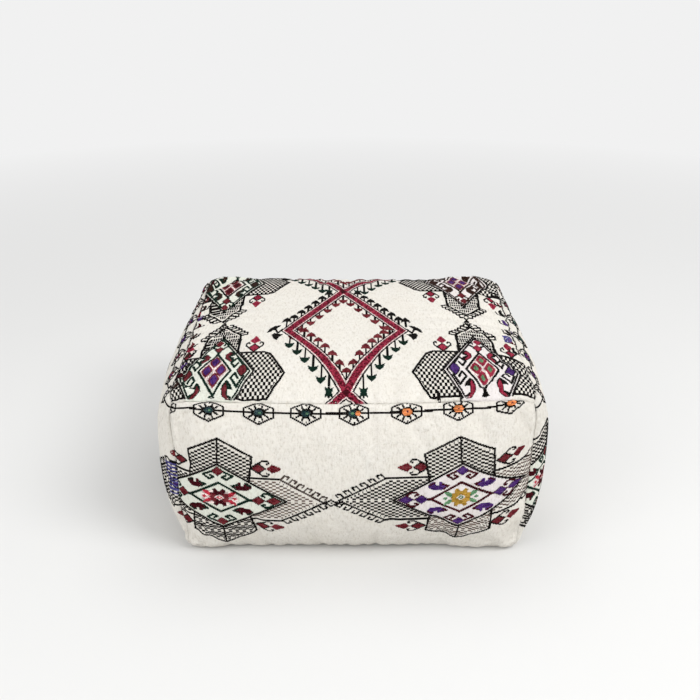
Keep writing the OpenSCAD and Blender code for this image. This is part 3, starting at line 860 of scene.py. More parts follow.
for side, width, spots, looks, suns in (
    ("right", DEPTH, (-262, 120, 520), (LEFT_LOOK, RIGHT_LOOK, LEFT_LOOK),
     (CRIMSON_SUN, VIOLET_SUN, BLUE_SUN)),
    ("back", WIDTH, (-196, 196), (RIGHT_LOOK, LEFT_LOOK), (BLUE_SUN, MIXED_SUN, ORANGE_SUN)),
    ("left", DEPTH, (-400, -12, 372), (RIGHT_LOOK, LEFT_LOOK, RIGHT_LOOK), (VIOLET_SUN, CRIMSON_SUN)),
):
    looms[side] = Loom(-width / 2, 0, width, HEIGHT, SIDE_CELL)
    chain(looms[side], spots, looks, suns, 18, 172)
for k in range(9):
    Pen(looms["left"], -DEPTH / 2, 134 + 7 * k).line([(0, 0), (28 - k, 0)], INDIGO, 2.8)
print("looms:", ", ".join(looms))

# %% [markdown]
# ## From cells to cloth
# The filled skin is drawn again at every cell corner of the loom, by cubic weights, which keep it smooth.
# Seams are then pressed into it: a groove along each edge, and the small puckers that a tight seam leaves.
# Every panel gets a ground sheet, and a second object that holds its yarn floats.

# %% Cubic weights
def cubic(count, fine):
    """Weights that turn count + 1 values into fine + 1 values on a smooth curve."""
    place = np.linspace(0, count, fine + 1)
    first = np.minimum(place.astype(int), count - 1)
    f = place - first
    found = np.zeros((fine + 1, count + 1))
    rows = np.arange(fine + 1)
    for shift, part in (
        (-1, -f / 2 + f ** 2 - f ** 3 / 2), (0, 1 - 2.5 * f ** 2 + 1.5 * f ** 3),
        (1, f / 2 + 2 * f ** 2 - 1.5 * f ** 3), (2, -f ** 2 / 2 + f ** 3 / 2),
    ):
        at = first + shift
        low, high = at < 0, at > count
        middle = ~(low | high)
        np.add.at(found, (rows[middle], at[middle]), part[middle])
        for end, beyond, inner in ((low, 0, 1), (high, count, count - 1)):
            np.add.at(found, (rows[end], np.full(end.sum(), beyond)), 2 * part[end])
            np.add.at(found, (rows[end], np.full(end.sum(), inner)), -part[end])
    return found


def redrawn(values, cols, rows):
    """Values on a coarse grid, drawn again on a finer one."""
    count_a, count_b = values.shape[0] - 1, values.shape[1] - 1
    return np.einsum("ai,ijk,bj->abk", cubic(count_a, cols), values, cubic(count_b, rows), optimize=True)


# %% Seams pressed into the cloth
GROOVE_DEEP, GROOVE_WIDE, ROLL_DEEP, ROLL_WIDE = 2.6, 3.2, 1.6, 13.0
PUCKER, PUCKER_WIDE, PUCKER_STEP, STITCH_WIDE = 0.9, 11.0, 13.5, 2.5
FOOT_SHARE = 0.3


def seam_depth(distance, along):
    """How far the cloth lies under the full form, at a distance from a seam."""
    pull = 1 + 0.35 * np.sin(along / 31) * np.sin(along / 17 + 1)
    pucker = PUCKER * pull * np.sin(2 * np.pi * along / PUCKER_STEP + 1.3 * np.sin(along / 37))
    press = GROOVE_DEEP * hill(distance, GROOVE_WIDE) + ROLL_DEEP * hill(distance, ROLL_WIDE)
    return press + pucker * hill(distance, PUCKER_WIDE) * (1 - hill(distance, STITCH_WIDE))


def grid_places(x_ends, y_ends, cols, rows):
    """Places at the corners of a grid over flat cloth."""
    x = np.linspace(*x_ends, cols + 1)[:, None] + np.zeros(rows + 1)
    y = np.zeros(cols + 1)[:, None] + np.linspace(*y_ends, rows + 1)
    return x, y


def lattice(panel, size, cols, rows, inner=False):
    """The cloth's points on a grid in millimetres, the way they face, and their places in the cloth."""
    points = redrawn(shape[places[panel]], cols, rows)
    facing = redrawn(outward[places[panel]], cols, rows)
    facing /= np.linalg.norm(facing, axis=2, keepdims=True)
    x, y = grid_places((0, size[0]), (0, size[1]), cols, rows)
    depth = np.zeros_like(x)
    foot = 1.0 if panel == "top" else FOOT_SHARE
    for distance, along, share in ((x, y, 1), (size[0] - x, y, 1), (y, x, 1), (size[1] - y, x, foot)):
        press = seam_depth(distance, along)
        if inner:
            press = press + 2 * PUCKER * hill(distance, PUCKER_WIDE)
        depth = np.maximum(depth, 0) + share * press
    points = points - facing * depth[..., None]
    across, down = np.gradient(points, axis=0), np.gradient(points, axis=1)
    normal = np.cross(across, down)
    normal *= np.sign((normal * facing).sum(-1, keepdims=True))
    normal /= np.linalg.norm(normal, axis=-1, keepdims=True)
    return points, normal, np.stack([x, y], -1)


# %% Closed sheets of cloth
def add_map(made, name, corners):
    """A map that gives each corner of the faces its place."""
    layer = made.data.uv_layers.new(name=name, do_init=False)
    layer.uv.foreach_set("vector", np.asarray(corners, np.float32).ravel())


def closed_sheets(name, parts, material):
    """One object of closed sheets. A part has an outer and an inner grid, its places, and a turned sign.
    In the baked map the outer faces take 0.9 of a part's height, and the back and the rim the rest."""
    points, faces, bake, weave = [], [], [], []
    first = 0
    for k, (outer, inner, place, turned) in enumerate(parts):
        index = np.arange(outer.shape[0] * outer.shape[1]).reshape(outer.shape[:2])
        count = index.size
        quads = quads_of(index)
        edge = np.concatenate([index[:-1, 0], index[-1, :-1], index[:0:-1, -1], index[0, :0:-1]])
        after = np.roll(edge, -1)
        rim = np.stack([after, edge, edge + count, after + count], -1)
        at = place.reshape(-1, 2)
        share = (at - at.min(0)) / (at.max(0) - at.min(0))
        step = np.linspace(0, 1, len(edge) + 1)
        rim_x = np.stack([step[1:], step[:-1], step[:-1], step[1:]], -1)
        rim_spots = np.stack([rim_x, np.tile([0.99, 0.99, 1.0, 1.0], (len(edge), 1))], -1)
        back = quads[:, ::-1]
        outer_spots, back_spots = share * (1, 0.9), share * (1, 0.06) + (0, 0.92)
        spots = np.concatenate([outer_spots[quads], back_spots[back], rim_spots])
        these = np.concatenate([quads, back + count, rim])
        order = slice(None, None, -1) if turned else slice(None)
        points.append(np.concatenate([outer.reshape(-1, 3), inner.reshape(-1, 3)]))
        faces.append(these[:, order] + first)
        bake.append((spots[:, order] + (0, k)) / (1, len(parts)))
        weave.append(np.tile(at, (2, 1))[these[:, order]] * MM)
        first += 2 * count
    made = mesh_object(name, np.concatenate(points), np.concatenate(faces).tolist())
    add_map(made, "OFBake", np.concatenate(bake))
    add_map(made, "weave", np.concatenate(weave))
    made.data.materials.append(material)
    return made


# %% The ground sheet
def ground_sheet(name, loom, points, normal, place, material, turned):
    """A closed sheet of cloth on every second corner of the loom's cells, with the tints of its fields."""
    outer, inner = points[::2, ::2], (points - normal * COVER_T)[::2, ::2]
    made = closed_sheets(name, [(outer, inner, place[::2, ::2], turned)], material)
    field = np.pad(loom.field, ((0, 1), (0, 1)), mode="edge")[::2, ::2].ravel()
    colours = np.array([np.append(linear(rgb), 1) for rgb in GROUND_COLOURS])
    tint = made.data.color_attributes.new("tint", "FLOAT_COLOR", "POINT")
    tint.data.foreach_set("color", np.tile(colours[field], (2, 1)).astype(np.float32).ravel())
    return made


# %% Yarn floats
FLOAT_HEIGHT, FLOAT_SINK, FLOAT_UNEVEN, FLOAT_SEED = 0.62, 0.25, 0.22, 5
END_GAP, FOOT_OUT, SIDE_IN = 0.75, 0.05, 0.07
WIDER = {DASH: 0.48, FADED: 0.24}


def runs(cells, longest=4):
    """Start, end and row of each float, and its yarn: equal cells in a row, tied down every few cells."""
    long_way, rows = np.meshgrid(np.arange(cells.shape[0]), np.arange(cells.shape[1]), indexing="ij")
    tied = (long_way + (rows % 2)) % longest == 0
    before = np.pad(cells, ((1, 0), (0, 0)))[:-1]
    after = np.pad(cells, ((0, 1), (0, 0)))[1:]
    tied_next = np.pad(tied, ((0, 1), (0, 0)), constant_values=True)[1:]
    starts = (cells > 0) & ((cells != before) | tied)
    ends = (cells > 0) & ((cells != after) | tied_next)
    row, start = np.nonzero(starts.T)
    _, end = np.nonzero(ends.T)
    return start, end + 1, row, cells[start, row]


def blended(weights, grid):
    """The weighted sum of each float's four corners."""
    return sum(weight * grid[:, k] for k, weight in enumerate(weights))


def yarn_floats(name, loom, points, normal, place, materials):
    """Raised yarn over the ground, one small pillow for each float: a wide foot and a narrower top."""
    rng = np.random.default_rng(FLOAT_SEED)
    cells, grids = loom.cells, (points, normal, place)
    if loom.turned:
        cells, grids = cells.T, [grid.swapaxes(0, 1) for grid in grids]
    start, end, row, yarn = runs(cells)
    ends = [(start, row), (end, row), (end, row + 1), (start, row + 1)]
    corners, facing, at = (np.stack([grid[i, j] for i, j in ends], 1) for grid in grids)
    gap = (END_GAP / (loom.long * (end - start)))[:, None]
    wider = np.array([WIDER.get(k, 0.0) for k in range(len(YARN_NAMES) + 1)])[yarn][:, None]
    vertices, spots = [], []
    for along, inset, rise, uneven in (
        (-0.1, -FOOT_OUT, -FLOAT_SINK, 0), (0.4, SIDE_IN, FLOAT_HEIGHT, FLOAT_UNEVEN),
    ):
        s1, t1 = np.clip(gap * along, -0.2, 0.4), inset - wider
        lift = (rise * (1 + uneven * rng.normal(size=len(start))))[:, None]
        for s, t in ((s1, t1), (1 - s1, t1), (1 - s1, 1 - t1), (s1, 1 - t1)):
            weights = [(1 - s) * (1 - t), s * (1 - t), s * t, (1 - s) * t]
            vertices.append(blended(weights, corners) + blended(weights, facing) * lift)
            spots.append(blended(weights, at))
    vertices = np.stack(vertices, 1).reshape(-1, 3)
    spots = np.stack(spots, 1).reshape(-1, 2)
    quads = np.array([(4, 5, 6, 7), (0, 1, 5, 4), (1, 2, 6, 5), (2, 3, 7, 6), (3, 0, 4, 7)])
    seen = np.cross(vertices[5] - vertices[4], vertices[7] - vertices[4])
    if (seen * facing[0, 0]).sum() < 0:
        quads = quads[:, ::-1]
    faces = (8 * np.arange(len(start))[:, None, None] + quads).reshape(-1, 4)
    made = mesh_object(name, vertices, faces.tolist())
    add_map(made, "OFBake", (spots / place.reshape(-1, 2).max(0))[faces])
    add_map(made, "weave", spots[faces] * MM)
    used = sorted(set(yarn.tolist()))
    for k in used:
        made.data.materials.append(materials[k])
    index = np.zeros(len(YARN_NAMES) + 1, np.int32)
    index[used] = np.arange(len(used))
    made.data.polygons.foreach_set("material_index", np.repeat(index[yarn], len(quads)))
    made.data.update()
    return made


# %% [markdown]
# ## Materials by arithmetic
# A finish is easier to read as a sum than as a picture of wires. The small class below lets a socket be
# added, multiplied and raised like a number, and each sign becomes one Math node.

# %% Sockets as numbers
def sign(operation, reflected=False):
    """A method that stands for an arithmetic sign; it's reflected where a number stands on the left."""
    def method(self, other):
        first, second = (other, self) if reflected else (self, other)
        return self.finish.add("Math", {"operation": operation}, {0: first, 1: second})
    return method


class Socket:
    """A value in a material's nodes that takes part in arithmetic."""

    __add__, __radd__ = sign("ADD"), sign("ADD", True)
    __sub__, __rsub__ = sign("SUBTRACT"), sign("SUBTRACT", True)
    __mul__, __rmul__ = sign("MULTIPLY"), sign("MULTIPLY", True)
    __truediv__, __rtruediv__ = sign("DIVIDE"), sign("DIVIDE", True)
    __pow__, __rpow__ = sign("POWER"), sign("POWER", True)

    def __init__(self, finish, link):
        self.finish, self.link = finish, link

    def maths(self, operation, *others):
        values = dict(enumerate((self,) + others))
        return self.finish.add("Math", {"operation": operation}, values)

    def clamped(self):
        return self.finish.add("Clamp", {}, {"Value": self})


# %% Finishes
class Finish:
    """A material whose nodes are written as expressions."""

    def __init__(self, name, roughness=0.8, **fixed):
        self.material = bpy.data.materials.new(name)
        self.material.use_nodes = True
        self.tree = self.material.node_tree
        self.shader = self.tree.nodes["Principled BSDF"]
        self.set("Roughness", roughness)
        for socket, value in fixed.items():
            self.set(socket.replace("_", " "), value)

    def add(self, kind, settings, inputs, out=0):
        node = self.tree.nodes.new("ShaderNode" + kind)
        for name, value in settings.items():
            setattr(node, name, value)
        for key, value in inputs.items():
            self.give(node.inputs[key], value)
        return Socket(self, node.outputs[out])

    def give(self, target, value):
        """Links a socket to an input, or sets the input to a number."""
        if isinstance(value, Socket):
            self.tree.links.new(value.link, target)
        else:
            target.default_value = value

    def set(self, name, value):
        self.give(self.shader.inputs[name], value)

    def mix(self, share, first, second):
        return self.add("Mix", {"data_type": "RGBA"}, {0: share, 6: first, 7: second}, 2)

    def weave(self):
        """Places in the weave, in metres of cloth: the vector, then its two parts."""
        at = self.add("UVMap", {"uv_map": "weave"}, {})
        parts = self.add("SeparateXYZ", {}, {0: at})
        return at, parts, Socket(self, parts.link.node.outputs[1])

    def scaled(self, vector, by):
        return self.add("VectorMath", {"operation": "MULTIPLY"}, {0: vector, 1: by})

    def snapped(self, vector, x, y):
        """The vector at the nearest steps, given in millimetres of cloth."""
        return self.add("VectorMath", {"operation": "SNAP"}, {0: vector, 1: (x * MM, y * MM, 1)})

    def noise(self, vector, scale, detail=3.0, rough=0.55, stretch=(1, 1, 1)):
        at = self.scaled(vector, stretch)
        inputs = {"Vector": at, "Scale": scale, "Detail": detail, "Roughness": rough}
        return self.add("TexNoise", {}, inputs)

    def place(self):
        """The piece's own places, in metres."""
        return self.add("TexCoord", {}, {}, "Object")

    def done(self, base, roughness, height, deep):
        """The material with its colour, its roughness, and a relief of so many millimetres."""
        self.set("Base Color", base)
        self.set("Roughness", roughness)
        inputs = {"Strength": 1.0, "Distance": deep * MM, "Height": height}
        self.set("Normal", self.add("Bump", {}, inputs))
        return self.material


def colour(rgb, bright=1.0):
    """A screen colour as a socket takes it, made brighter or darker."""
    return (*(linear(rgb) * bright), 1.0)


# %% The woven ground
THREAD, FINE = 1.5, 0.1


def ribs(place, pitch):
    """Round threads side by side: 0 between two of them and 1 on top."""
    return (place * (math.pi / (pitch * MM))).maths("SINE").maths("ABSOLUTE")


def ground_cloth(name):
    """Cream wool in plain weave: slubbed threads, painted shade in the dips between them and in the
    crinkles, and a few darker fibres.
    """
    finish = Finish(name, 0.9, Sheen_Weight=0.08, Sheen_Roughness=0.5, Specular_IOR_Level=0.15)
    at, x, y = finish.weave()
    warp = ribs(x, THREAD)
    odd = (x / (2 * THREAD * MM)).maths("FRACT").maths("GREATER_THAN", 0.5)
    weft = ribs(y + odd * (0.5 * THREAD * MM), THREAD)
    along = finish.snapped(at, THREAD, FINE)
    across = finish.snapped(at, FINE, THREAD)
    slub = finish.noise(along, 460, 3, 0.6, (3, 0.16, 1))
    cross = finish.noise(across, 460, 2, 0.6, (0.2, 3, 1))
    fuzz = finish.noise(at, 1600, 2, 0.7)
    cloud = finish.noise(at, 14, 4, 0.62)
    fleck = finish.noise(at, 260, 2, 0.5, (1, 0.22, 1))
    crepe = finish.noise(along, 330, 2, 0.7, (0.95, 0.27, 1))
    rumple = finish.noise(at, 38, 3, 0.55, (1, 0.6, 1))
    threads = warp * 0.5 + weft * 0.42
    # Painted shade: the colour darkens between the threads and in the crepe's crinkles, mixed with the
    # random tone of the slubs.
    shade = (threads + slub * 1.3 + cross * 0.9 + fuzz * 0.3 + crepe * 3.4 - 2.54).clamped()
    tint = finish.add("Attribute", {"attribute_name": "tint"}, {})
    # Where the share is low the tint darkens: this is the painted shade of the dips.
    base = finish.mix(shade, finish.scaled(tint, (0.7, 0.67, 0.62)), tint)
    warm = finish.scaled(tint, (0.95, 0.93, 0.89))
    base = finish.mix((cloud * 2.2 - 0.8).clamped() * 0.6, base, warm)
    fibres = ((fleck - 0.64) * 10).clamped() * 0.22
    base = finish.mix(fibres, base, colour((150, 136, 116)))
    height = threads * 0.7 + slub * 1.2 + cross * 0.8 + fuzz * 0.2 + crepe * 4.4 + rumple * 6.0
    return finish.done(base, 0.95 - shade * 0.12, height, 0.9)


# %% The yarns
def yarn_cloth(name, rgb):
    """Dyed wool yarn, uneven in its dye from float to float and a little faded over the panel."""
    finish = Finish("yarn_" + name, 0.9, Specular_IOR_Level=0.06)
    at = finish.weave()[0]
    island = finish.add("NewGeometry", {}, {}, "Random Per Island")
    cloud = finish.noise(at, 42, 3, 0.6)
    twist = finish.noise(at, 1300, 2, 0.6, (1, 0.45, 1))
    light = (island * 0.9 + cloud * 1.5 + twist * 0.5 - 0.95).clamped()
    fade = 0.0 if sum(rgb) < 120 else 0.05
    lighter = tuple(np.append(linear(rgb) * (1.15 - fade) + fade * linear((230, 214, 205)), 1))
    base = finish.mix(light, colour(rgb, 0.42), lighter)
    return finish.done(base, 0.9 - twist * 0.15, twist, 0.25)


yarns = {k + 1: yarn_cloth(name, rgb) for k, (name, rgb) in enumerate(YARN_COLOURS.items())}
kilim = ground_cloth("kilim_ground")
print("materials:", len(bpy.data.materials))

# %% Make the five panels
for panel, loom in looms.items():
    points, normal, place = lattice(panel, loom.size, loom.cols, loom.rows)
    sheet = ground_sheet(panel + "_cloth", loom, points, normal, place, kilim, panel in FORWARD)
    brocade = yarn_floats(panel + "_brocade", loom, points, normal, place, yarns)
    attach(sheet, "cushion")
    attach(brocade, "cushion")
    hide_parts(panel + "_panel")
    flat = tuple(float(size) * MM for size in loom.size)
    print(panel, len(sheet.data.polygons), "faces of ground,", len(brocade.data.polygons), "faces of yarn")

# %% [markdown]
# ## The stuffed insert
# A pouf's cover comes off for washing, because its filling sits in a case of its own. The case could be a
# copy of the cover made smaller, but a seam is pressed deeper into the cover than the case lies under it.
# So the case is drawn again from the same filled skin, with the same seams a little deeper.

# %% Plain cloth
def plain_cloth(name, rgb, thread, flecks=0.0, twill=False):
    """Undyed woven cotton: two sets of threads with painted shade between them, fine unevenness and a few
    seed flecks.
    """
    finish = Finish(name, 0.88, Specular_IOR_Level=0.2)
    at, x, y = finish.weave()
    slant = y
    if twill:
        slant = y + (x / (thread * 6 * MM)).maths("PINGPONG", 1.0) * (thread * 3 * MM)
    warp, weft = ribs(x, thread), ribs(slant, thread)
    slub = finish.noise(at, 520, 3, 0.6, (1, 0.2, 1))
    cross = finish.noise(at, 620, 2, 0.6, (0.2, 1, 1))
    cloud = finish.noise(at, 22, 4, 0.6)
    seeds = finish.noise(at, 420, 1, 0.5)
    # Painted shade: the colour darkens between the threads, mixed with the random tone of the slubs.
    shade = (warp * 0.3 + weft * 0.35 + slub * 0.6 + cross * 0.4 - 0.45).clamped()
    base = finish.mix(shade, colour(rgb, 0.66), colour(rgb, 1.04))
    base = finish.mix((cloud * 2 - 0.7).clamped() * 0.35, base, colour(rgb, 0.82))
    base = finish.mix(((seeds - 0.69) * 14).clamped() * flecks, base, colour((120, 96, 66)))
    height = warp * 0.4 + weft * 0.4 + slub * 0.6 + cross * 0.4
    return finish.done(base, 0.94 - shade * 0.14, height, thread * 0.35)


# %% Fibre and thread
def fibre(name, rgb):
    """Loose polyester fibre: soft clumps with fine strands in every direction."""
    finish = Finish(name, 0.95, Specular_IOR_Level=0.2)
    at = finish.place()
    clumps = finish.noise(at, 30, 4, 0.6)
    strands = finish.noise(at, 420, 3, 0.7, (1, 0.25, 0.6))
    share = (clumps * 1.6 + strands * 0.6 - 0.7).clamped()
    base = finish.mix(share, colour(rgb, 0.8), colour(rgb))
    return finish.done(base, 0.98 - strands * 0.1, clumps * 2 + strands, 1.5)


TWIST = 0.5


def sewing_thread(name, rgb):
    """Twisted cotton thread: fine slanted turns along each stitch, with painted shade in the grooves
    between them.
    """
    finish = Finish(name, 0.7, Specular_IOR_Level=0.3)
    _, x, y = finish.weave()
    turns = ((x + y * 0.6) * (2 * math.pi / (TWIST * MM))).maths("SINE")
    # Painted shade: the colour darkens in the grooves between the turns.
    base = finish.mix(turns * 0.5 + 0.5, colour(rgb, 0.6), colour(rgb))
    return finish.done(base, 0.75 - turns * 0.08, turns, 0.06)


cotton = plain_cloth("case_cotton", (244, 242, 234), 0.7)
canvas = plain_cloth("base_canvas", (208, 198, 174), 1.3, 0.5)
tape_cloth = plain_cloth("tape_twill", (196, 188, 168), 0.5, 0.0, True)
filling = fibre("stuffing_fibre", (250, 250, 246))
thread = sewing_thread("sewing_thread", (226, 216, 192))
print("materials:", len(bpy.data.materials))

# %% The tunnel over the zip
TUNNEL_Y, TUNNEL_Z, TUNNEL_REACH = (13.5, 36.0), (9.65, 1.8), 70.0


def tunnel(y, lift=0.0, spread=0.0):
    """How high the insert's underside is over the zip, at a distance from its middle."""
    return np.interp(np.abs(y), np.add(TUNNEL_Y, spread), TUNNEL_Z) + lift


def cleared(points, low, lift=0.0, spread=0.0):
    """The wall's points, with its foot drawn up over the tunnel of the zip."""
    rise = np.maximum(0, tunnel(points[..., 1], lift, spread) - TUNNEL_Z[1] - lift)
    share = np.clip((TUNNEL_REACH - points[..., 2]) / (TUNNEL_REACH - low), 0, 1)
    raised = points.copy()
    raised[..., 2] += rise * share
    return raised


# %% The insert's case
CASE_OUT, CASE_STEP, CASE_LOW = 2.5, 7.0, 2.4


def case_part(panel):
    """The case's outer and inner grid behind a panel of the cover."""
    size = looms[panel].size
    cols, rows = (2 * round(length / CASE_STEP / 2) for length in size)
    points, normal, place = lattice(panel, size, cols, rows, True)
    outer, inner = points - normal * CASE_OUT, points - normal * (CASE_OUT + CASE_T)
    if panel != "top":
        outer, inner = (cleared(grid, RIM_LIFT + CASE_OUT) for grid in (outer, inner))
        for grid in (outer, inner):
            grid[..., 2] = np.maximum(grid[..., 2], CASE_LOW)
    return outer, inner, place, panel in FORWARD


def settle(piece, node, flat):
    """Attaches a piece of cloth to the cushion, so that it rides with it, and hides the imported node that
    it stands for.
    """
    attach(piece, "cushion")
    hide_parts(node)
    flat = tuple(float(v) * MM for v in flat)
    print(piece.name, len(piece.data.polygons), "faces")


case_top = closed_sheets("case_top", [case_part("top")], cotton)
settle(case_top, "insert_case_top", looms["top"].size)
case_boxing = closed_sheets("case_boxing", [case_part(side) for side in SIDES], cotton)
settle(case_boxing, "insert_case_boxing", (2 * (WIDTH + DEPTH), HEIGHT))


# %% The foot of the case
def foot_edges(side):
    """The inner face of the cover's rim on the floor, as points along a side."""
    points, normal, _ = lattice(side, looms[side].size, 2 * ACROSS, 2 * DOWN)
    return points[:, -1] - normal[:, -1] * COVER_T


edge = {side: foot_edges(side) for side in SIDES}
HALF_FOOT = np.abs(edge["left"][[0, -1], 1]).min()
LEVEL_Y = 40.0


def foot_grid(rows, inset, across=60):
    """Places within the cover's rim: rows run straight near the zip and bend with the rim further out."""
    y = np.asarray(rows, float)[None, :] * np.ones((across + 1, 1))
    left = np.interp(y, edge["left"][:, 1], edge["left"][:, 0]) + inset
    right = np.interp(y, edge["right"][:, 1], edge["right"][:, 0]) - inset
    x = left + np.linspace(0, 1, across + 1)[:, None] * (right - left)
    front = np.interp(x, edge["front"][:, 0], -edge["front"][:, 1])
    back = np.interp(x, edge["back"][:, 0], edge["back"][:, 1])
    limit = np.where(y < 0, front, back) - inset
    bend = np.clip((np.abs(y) - LEVEL_Y) / (HALF_FOOT - LEVEL_Y), 0, 1)
    return x, y * (1 - bend * (1 - limit / HALF_FOOT))


def steps_between(start, end, step):
    """Even places from start to end, about a step apart."""
    return np.linspace(start, end, max(2, round((end - start) / step)) + 1)


def spread_out(x, y):
    """Places in a flat piece of cloth, shifted so that none is negative."""
    return np.stack([x, y], -1) + SHIFT


CASE_RIM, CASE_FOOT_T, CASE_FOOT_FLAT, SHIFT = 1.6, 1.4, (540, 540), 300
near, far = TUNNEL_Y
spans = ((0, near, 5), (near, far, 6), (far, HALF_FOOT, 14))
half_rows = np.unique(np.concatenate([steps_between(*span) for span in spans]))
x, y = foot_grid(np.concatenate([-half_rows[:0:-1], half_rows]), CASE_RIM)
case_low = points_at(x, y, tunnel(y))
foot_part = (case_low, case_low + (0, 0, CASE_FOOT_T), spread_out(x, y), True)
case_foot = closed_sheets("case_foot", [foot_part], cotton)
settle(case_foot, "insert_case_base", CASE_FOOT_FLAT)

# %% The filling
STUFFING_IN, OVER_CASE, BESIDE_CASE = 4.3, 2.4, 2.0


def stuffed():
    """The skin's points drawn inside the case, with the lower walls lifted over the tunnel of the zip."""
    depth = np.zeros(len(shape))
    for panel, grid in places.items():
        width, height = looms[panel].size
        x, y = grid_places((0, width), (0, height), grid.shape[0] - 1, grid.shape[1] - 1)
        edges = [x, width - x, y] + ([height - y] if panel == "top" else [])
        grooves = sum(GROOVE_DEEP * hill(distance, GROOVE_WIDE) for distance in edges)
        rolls = sum((ROLL_DEEP + 2 * PUCKER) * hill(distance, ROLL_WIDE) for distance in edges)
        depth[grid] = np.maximum(depth[grid], grooves + rolls)
    points = shape - outward * (depth + STUFFING_IN)[:, None]
    walls = np.unique(np.concatenate([places[side].ravel() for side in SIDES]))
    points[walls] = cleared(points[walls], RIM_LIFT, OVER_CASE, BESIDE_CASE)
    return points


def spanned(grid):
    """A grid of points that keeps its edges and follows them within."""
    u = np.linspace(0, 1, ACROSS + 1)[:, None, None]
    v = u.swapaxes(0, 1)
    along, across = grid[:, :1] * (1 - v) + grid[:, -1:] * v, grid[:1] * (1 - u) + grid[-1:] * u
    return along + across - across[:, :1] * (1 - v) - across[:, -1:] * v


form_in = stuffed()
under = bordered(places, -1, len(form_in))
form_in = np.concatenate([form_in, np.zeros(((ACROSS - 1) ** 2, 3))])
form_in[under] = spanned(form_in[under])
form_in[under, 2] = tunnel(form_in[under, 1], OVER_CASE, BESIDE_CASE)
down_quads = quads_of(under)[:, [0, 3, 2, 1]]
stuffing = mesh_object("filling", form_in, skin_faces(places)[:-1] + down_quads.tolist())
stuffing.data.materials.append(filling)
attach(stuffing, "cushion")
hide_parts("stuffing")
print("filling:", len(stuffing.data.polygons), "faces")

# %% [markdown]
# ## The base and its zip
# Under the pouf is plain canvas, in two halves that meet at a long zip. The canvas is turned under twice
# beside the zip, and rows of lockstitch hold the tapes. Stitches could be a bump in the canvas, but real
# small threads catch the light from every side, so each one is modelled.

# %% Canvas halves
CANVAS_LIFT, CANVAS_T, HEM_Y, HEM_T = 0.3, 1.3, 19.0, 0.45
LEDGE_Y, LEDGE_Z, LEDGE_TOP = (8.0, 12.5, 34.0), (4.5, 4.5, CANVAS_LIFT), 5.95
CANVAS_COLS, CANVAS_RIM, CANVAS_FLAT, RIPPLE, RIPPLE_WIDE = 110, 0.4, (546, 268), 0.22, 16
HEM_ROWS = (8, 8.5, 10.2, 12.5, 15, 17.2, 18.9, 19.3, 22, 26, 30, 34, 38)


def canvas_low(y):
    """Height of the canvas's lower face, with the turned hem beside the zip."""
    return np.interp(np.abs(y), LEDGE_Y, LEDGE_Z) - HEM_T * (np.abs(y) < HEM_Y)


def canvas_half(way):
    """The lower and upper faces of one half, with fine rows at the hem and ripples near the rim."""
    rows = np.concatenate([HEM_ROWS, steps_between(44, HALF_FOOT, 8)])
    x, y = foot_grid(way * rows, CANVAS_RIM, CANVAS_COLS)
    share = np.linspace(0, 1, CANVAS_COLS + 1)[:, None]
    rim = np.minimum(SEAM_W * np.minimum(share, 1 - share), HALF_FOOT - rows)
    ripple = RIPPLE * np.sin(x / 4.1 + y / 3.7) * hill(rim, RIPPLE_WIDE) * (np.abs(y) > LEVEL_Y)
    low = canvas_low(y) + ripple
    high = np.interp(np.abs(y), LEDGE_Y, (LEDGE_TOP, LEDGE_TOP, CANVAS_LIFT + CANVAS_T))
    return points_at(x, y, low), points_at(x, y, high), spread_out(x, y), way > 0


# %% Stitches
THREAD_T, ROUND, BELOW = 0.5, 6, np.array([0.0, 0.0, -1.0])
STITCH_AT = np.array([0, 0.12, 0.5, 0.88, 1.0])
STITCH_RISE = np.array([-0.9, 0.05, 0.2, 0.05, -0.9]) * THREAD_T
STITCH_GIRTH = np.array([0.35, 0.5, 0.5, 0.5, 0.35]) * THREAD_T
STITCH_POINTS = ROUND * len(STITCH_AT)


def threads(paths, length, gap):
    """Stitches along paths under the pouf: short threads that dip into the cloth at both ends."""
    points, faces, weave = [], [], []
    turn = np.linspace(0, 2 * np.pi, ROUND + 1)[:ROUND]
    k = np.arange(ROUND)[:, None]
    around = np.concatenate([k, (k + 1) % ROUND, (k + 1) % ROUND + ROUND, k + ROUND], 1)
    station = ROUND * np.arange(len(STITCH_AT) - 1)[:, None, None]
    ends = np.stack([np.arange(ROUND)[::-1], STITCH_POINTS - ROUND + np.arange(ROUND)])
    count = 0
    for path in paths:
        along = np.concatenate([[0], np.cumsum(np.linalg.norm(np.diff(path, axis=0), axis=1))])
        starts = np.arange(gap / 2, along[-1] - length, length + gap)
        at = starts[:, None] + STITCH_AT * length
        middle = np.stack([np.interp(at, along, path[:, axis]) for axis in range(3)], -1)
        ahead = middle[:, -1:] - middle[:, :1]
        ahead = ahead / np.linalg.norm(ahead, axis=-1, keepdims=True)
        aside = np.cross(ahead, BELOW)[:, :, None]
        middle = middle + BELOW * STITCH_RISE[:, None]
        ringed = np.cos(turn)[:, None] * aside + np.sin(turn)[:, None] * BELOW
        points.append((middle[:, :, None] + ringed * STITCH_GIRTH[:, None, None]).reshape(-1, 3))
        spots = np.broadcast_arrays(at[..., None], THREAD_T * turn)
        weave.append(np.stack(spots, -1).reshape(-1, 2))
        first = count + STITCH_POINTS * np.arange(len(starts))[:, None, None, None]
        faces += (first + station + around).reshape(-1, 4).tolist()
        faces += (first[..., 0] + ends).reshape(-1, ROUND).tolist()
        count += STITCH_POINTS * len(starts)
    return np.concatenate(points), faces, np.concatenate(weave)


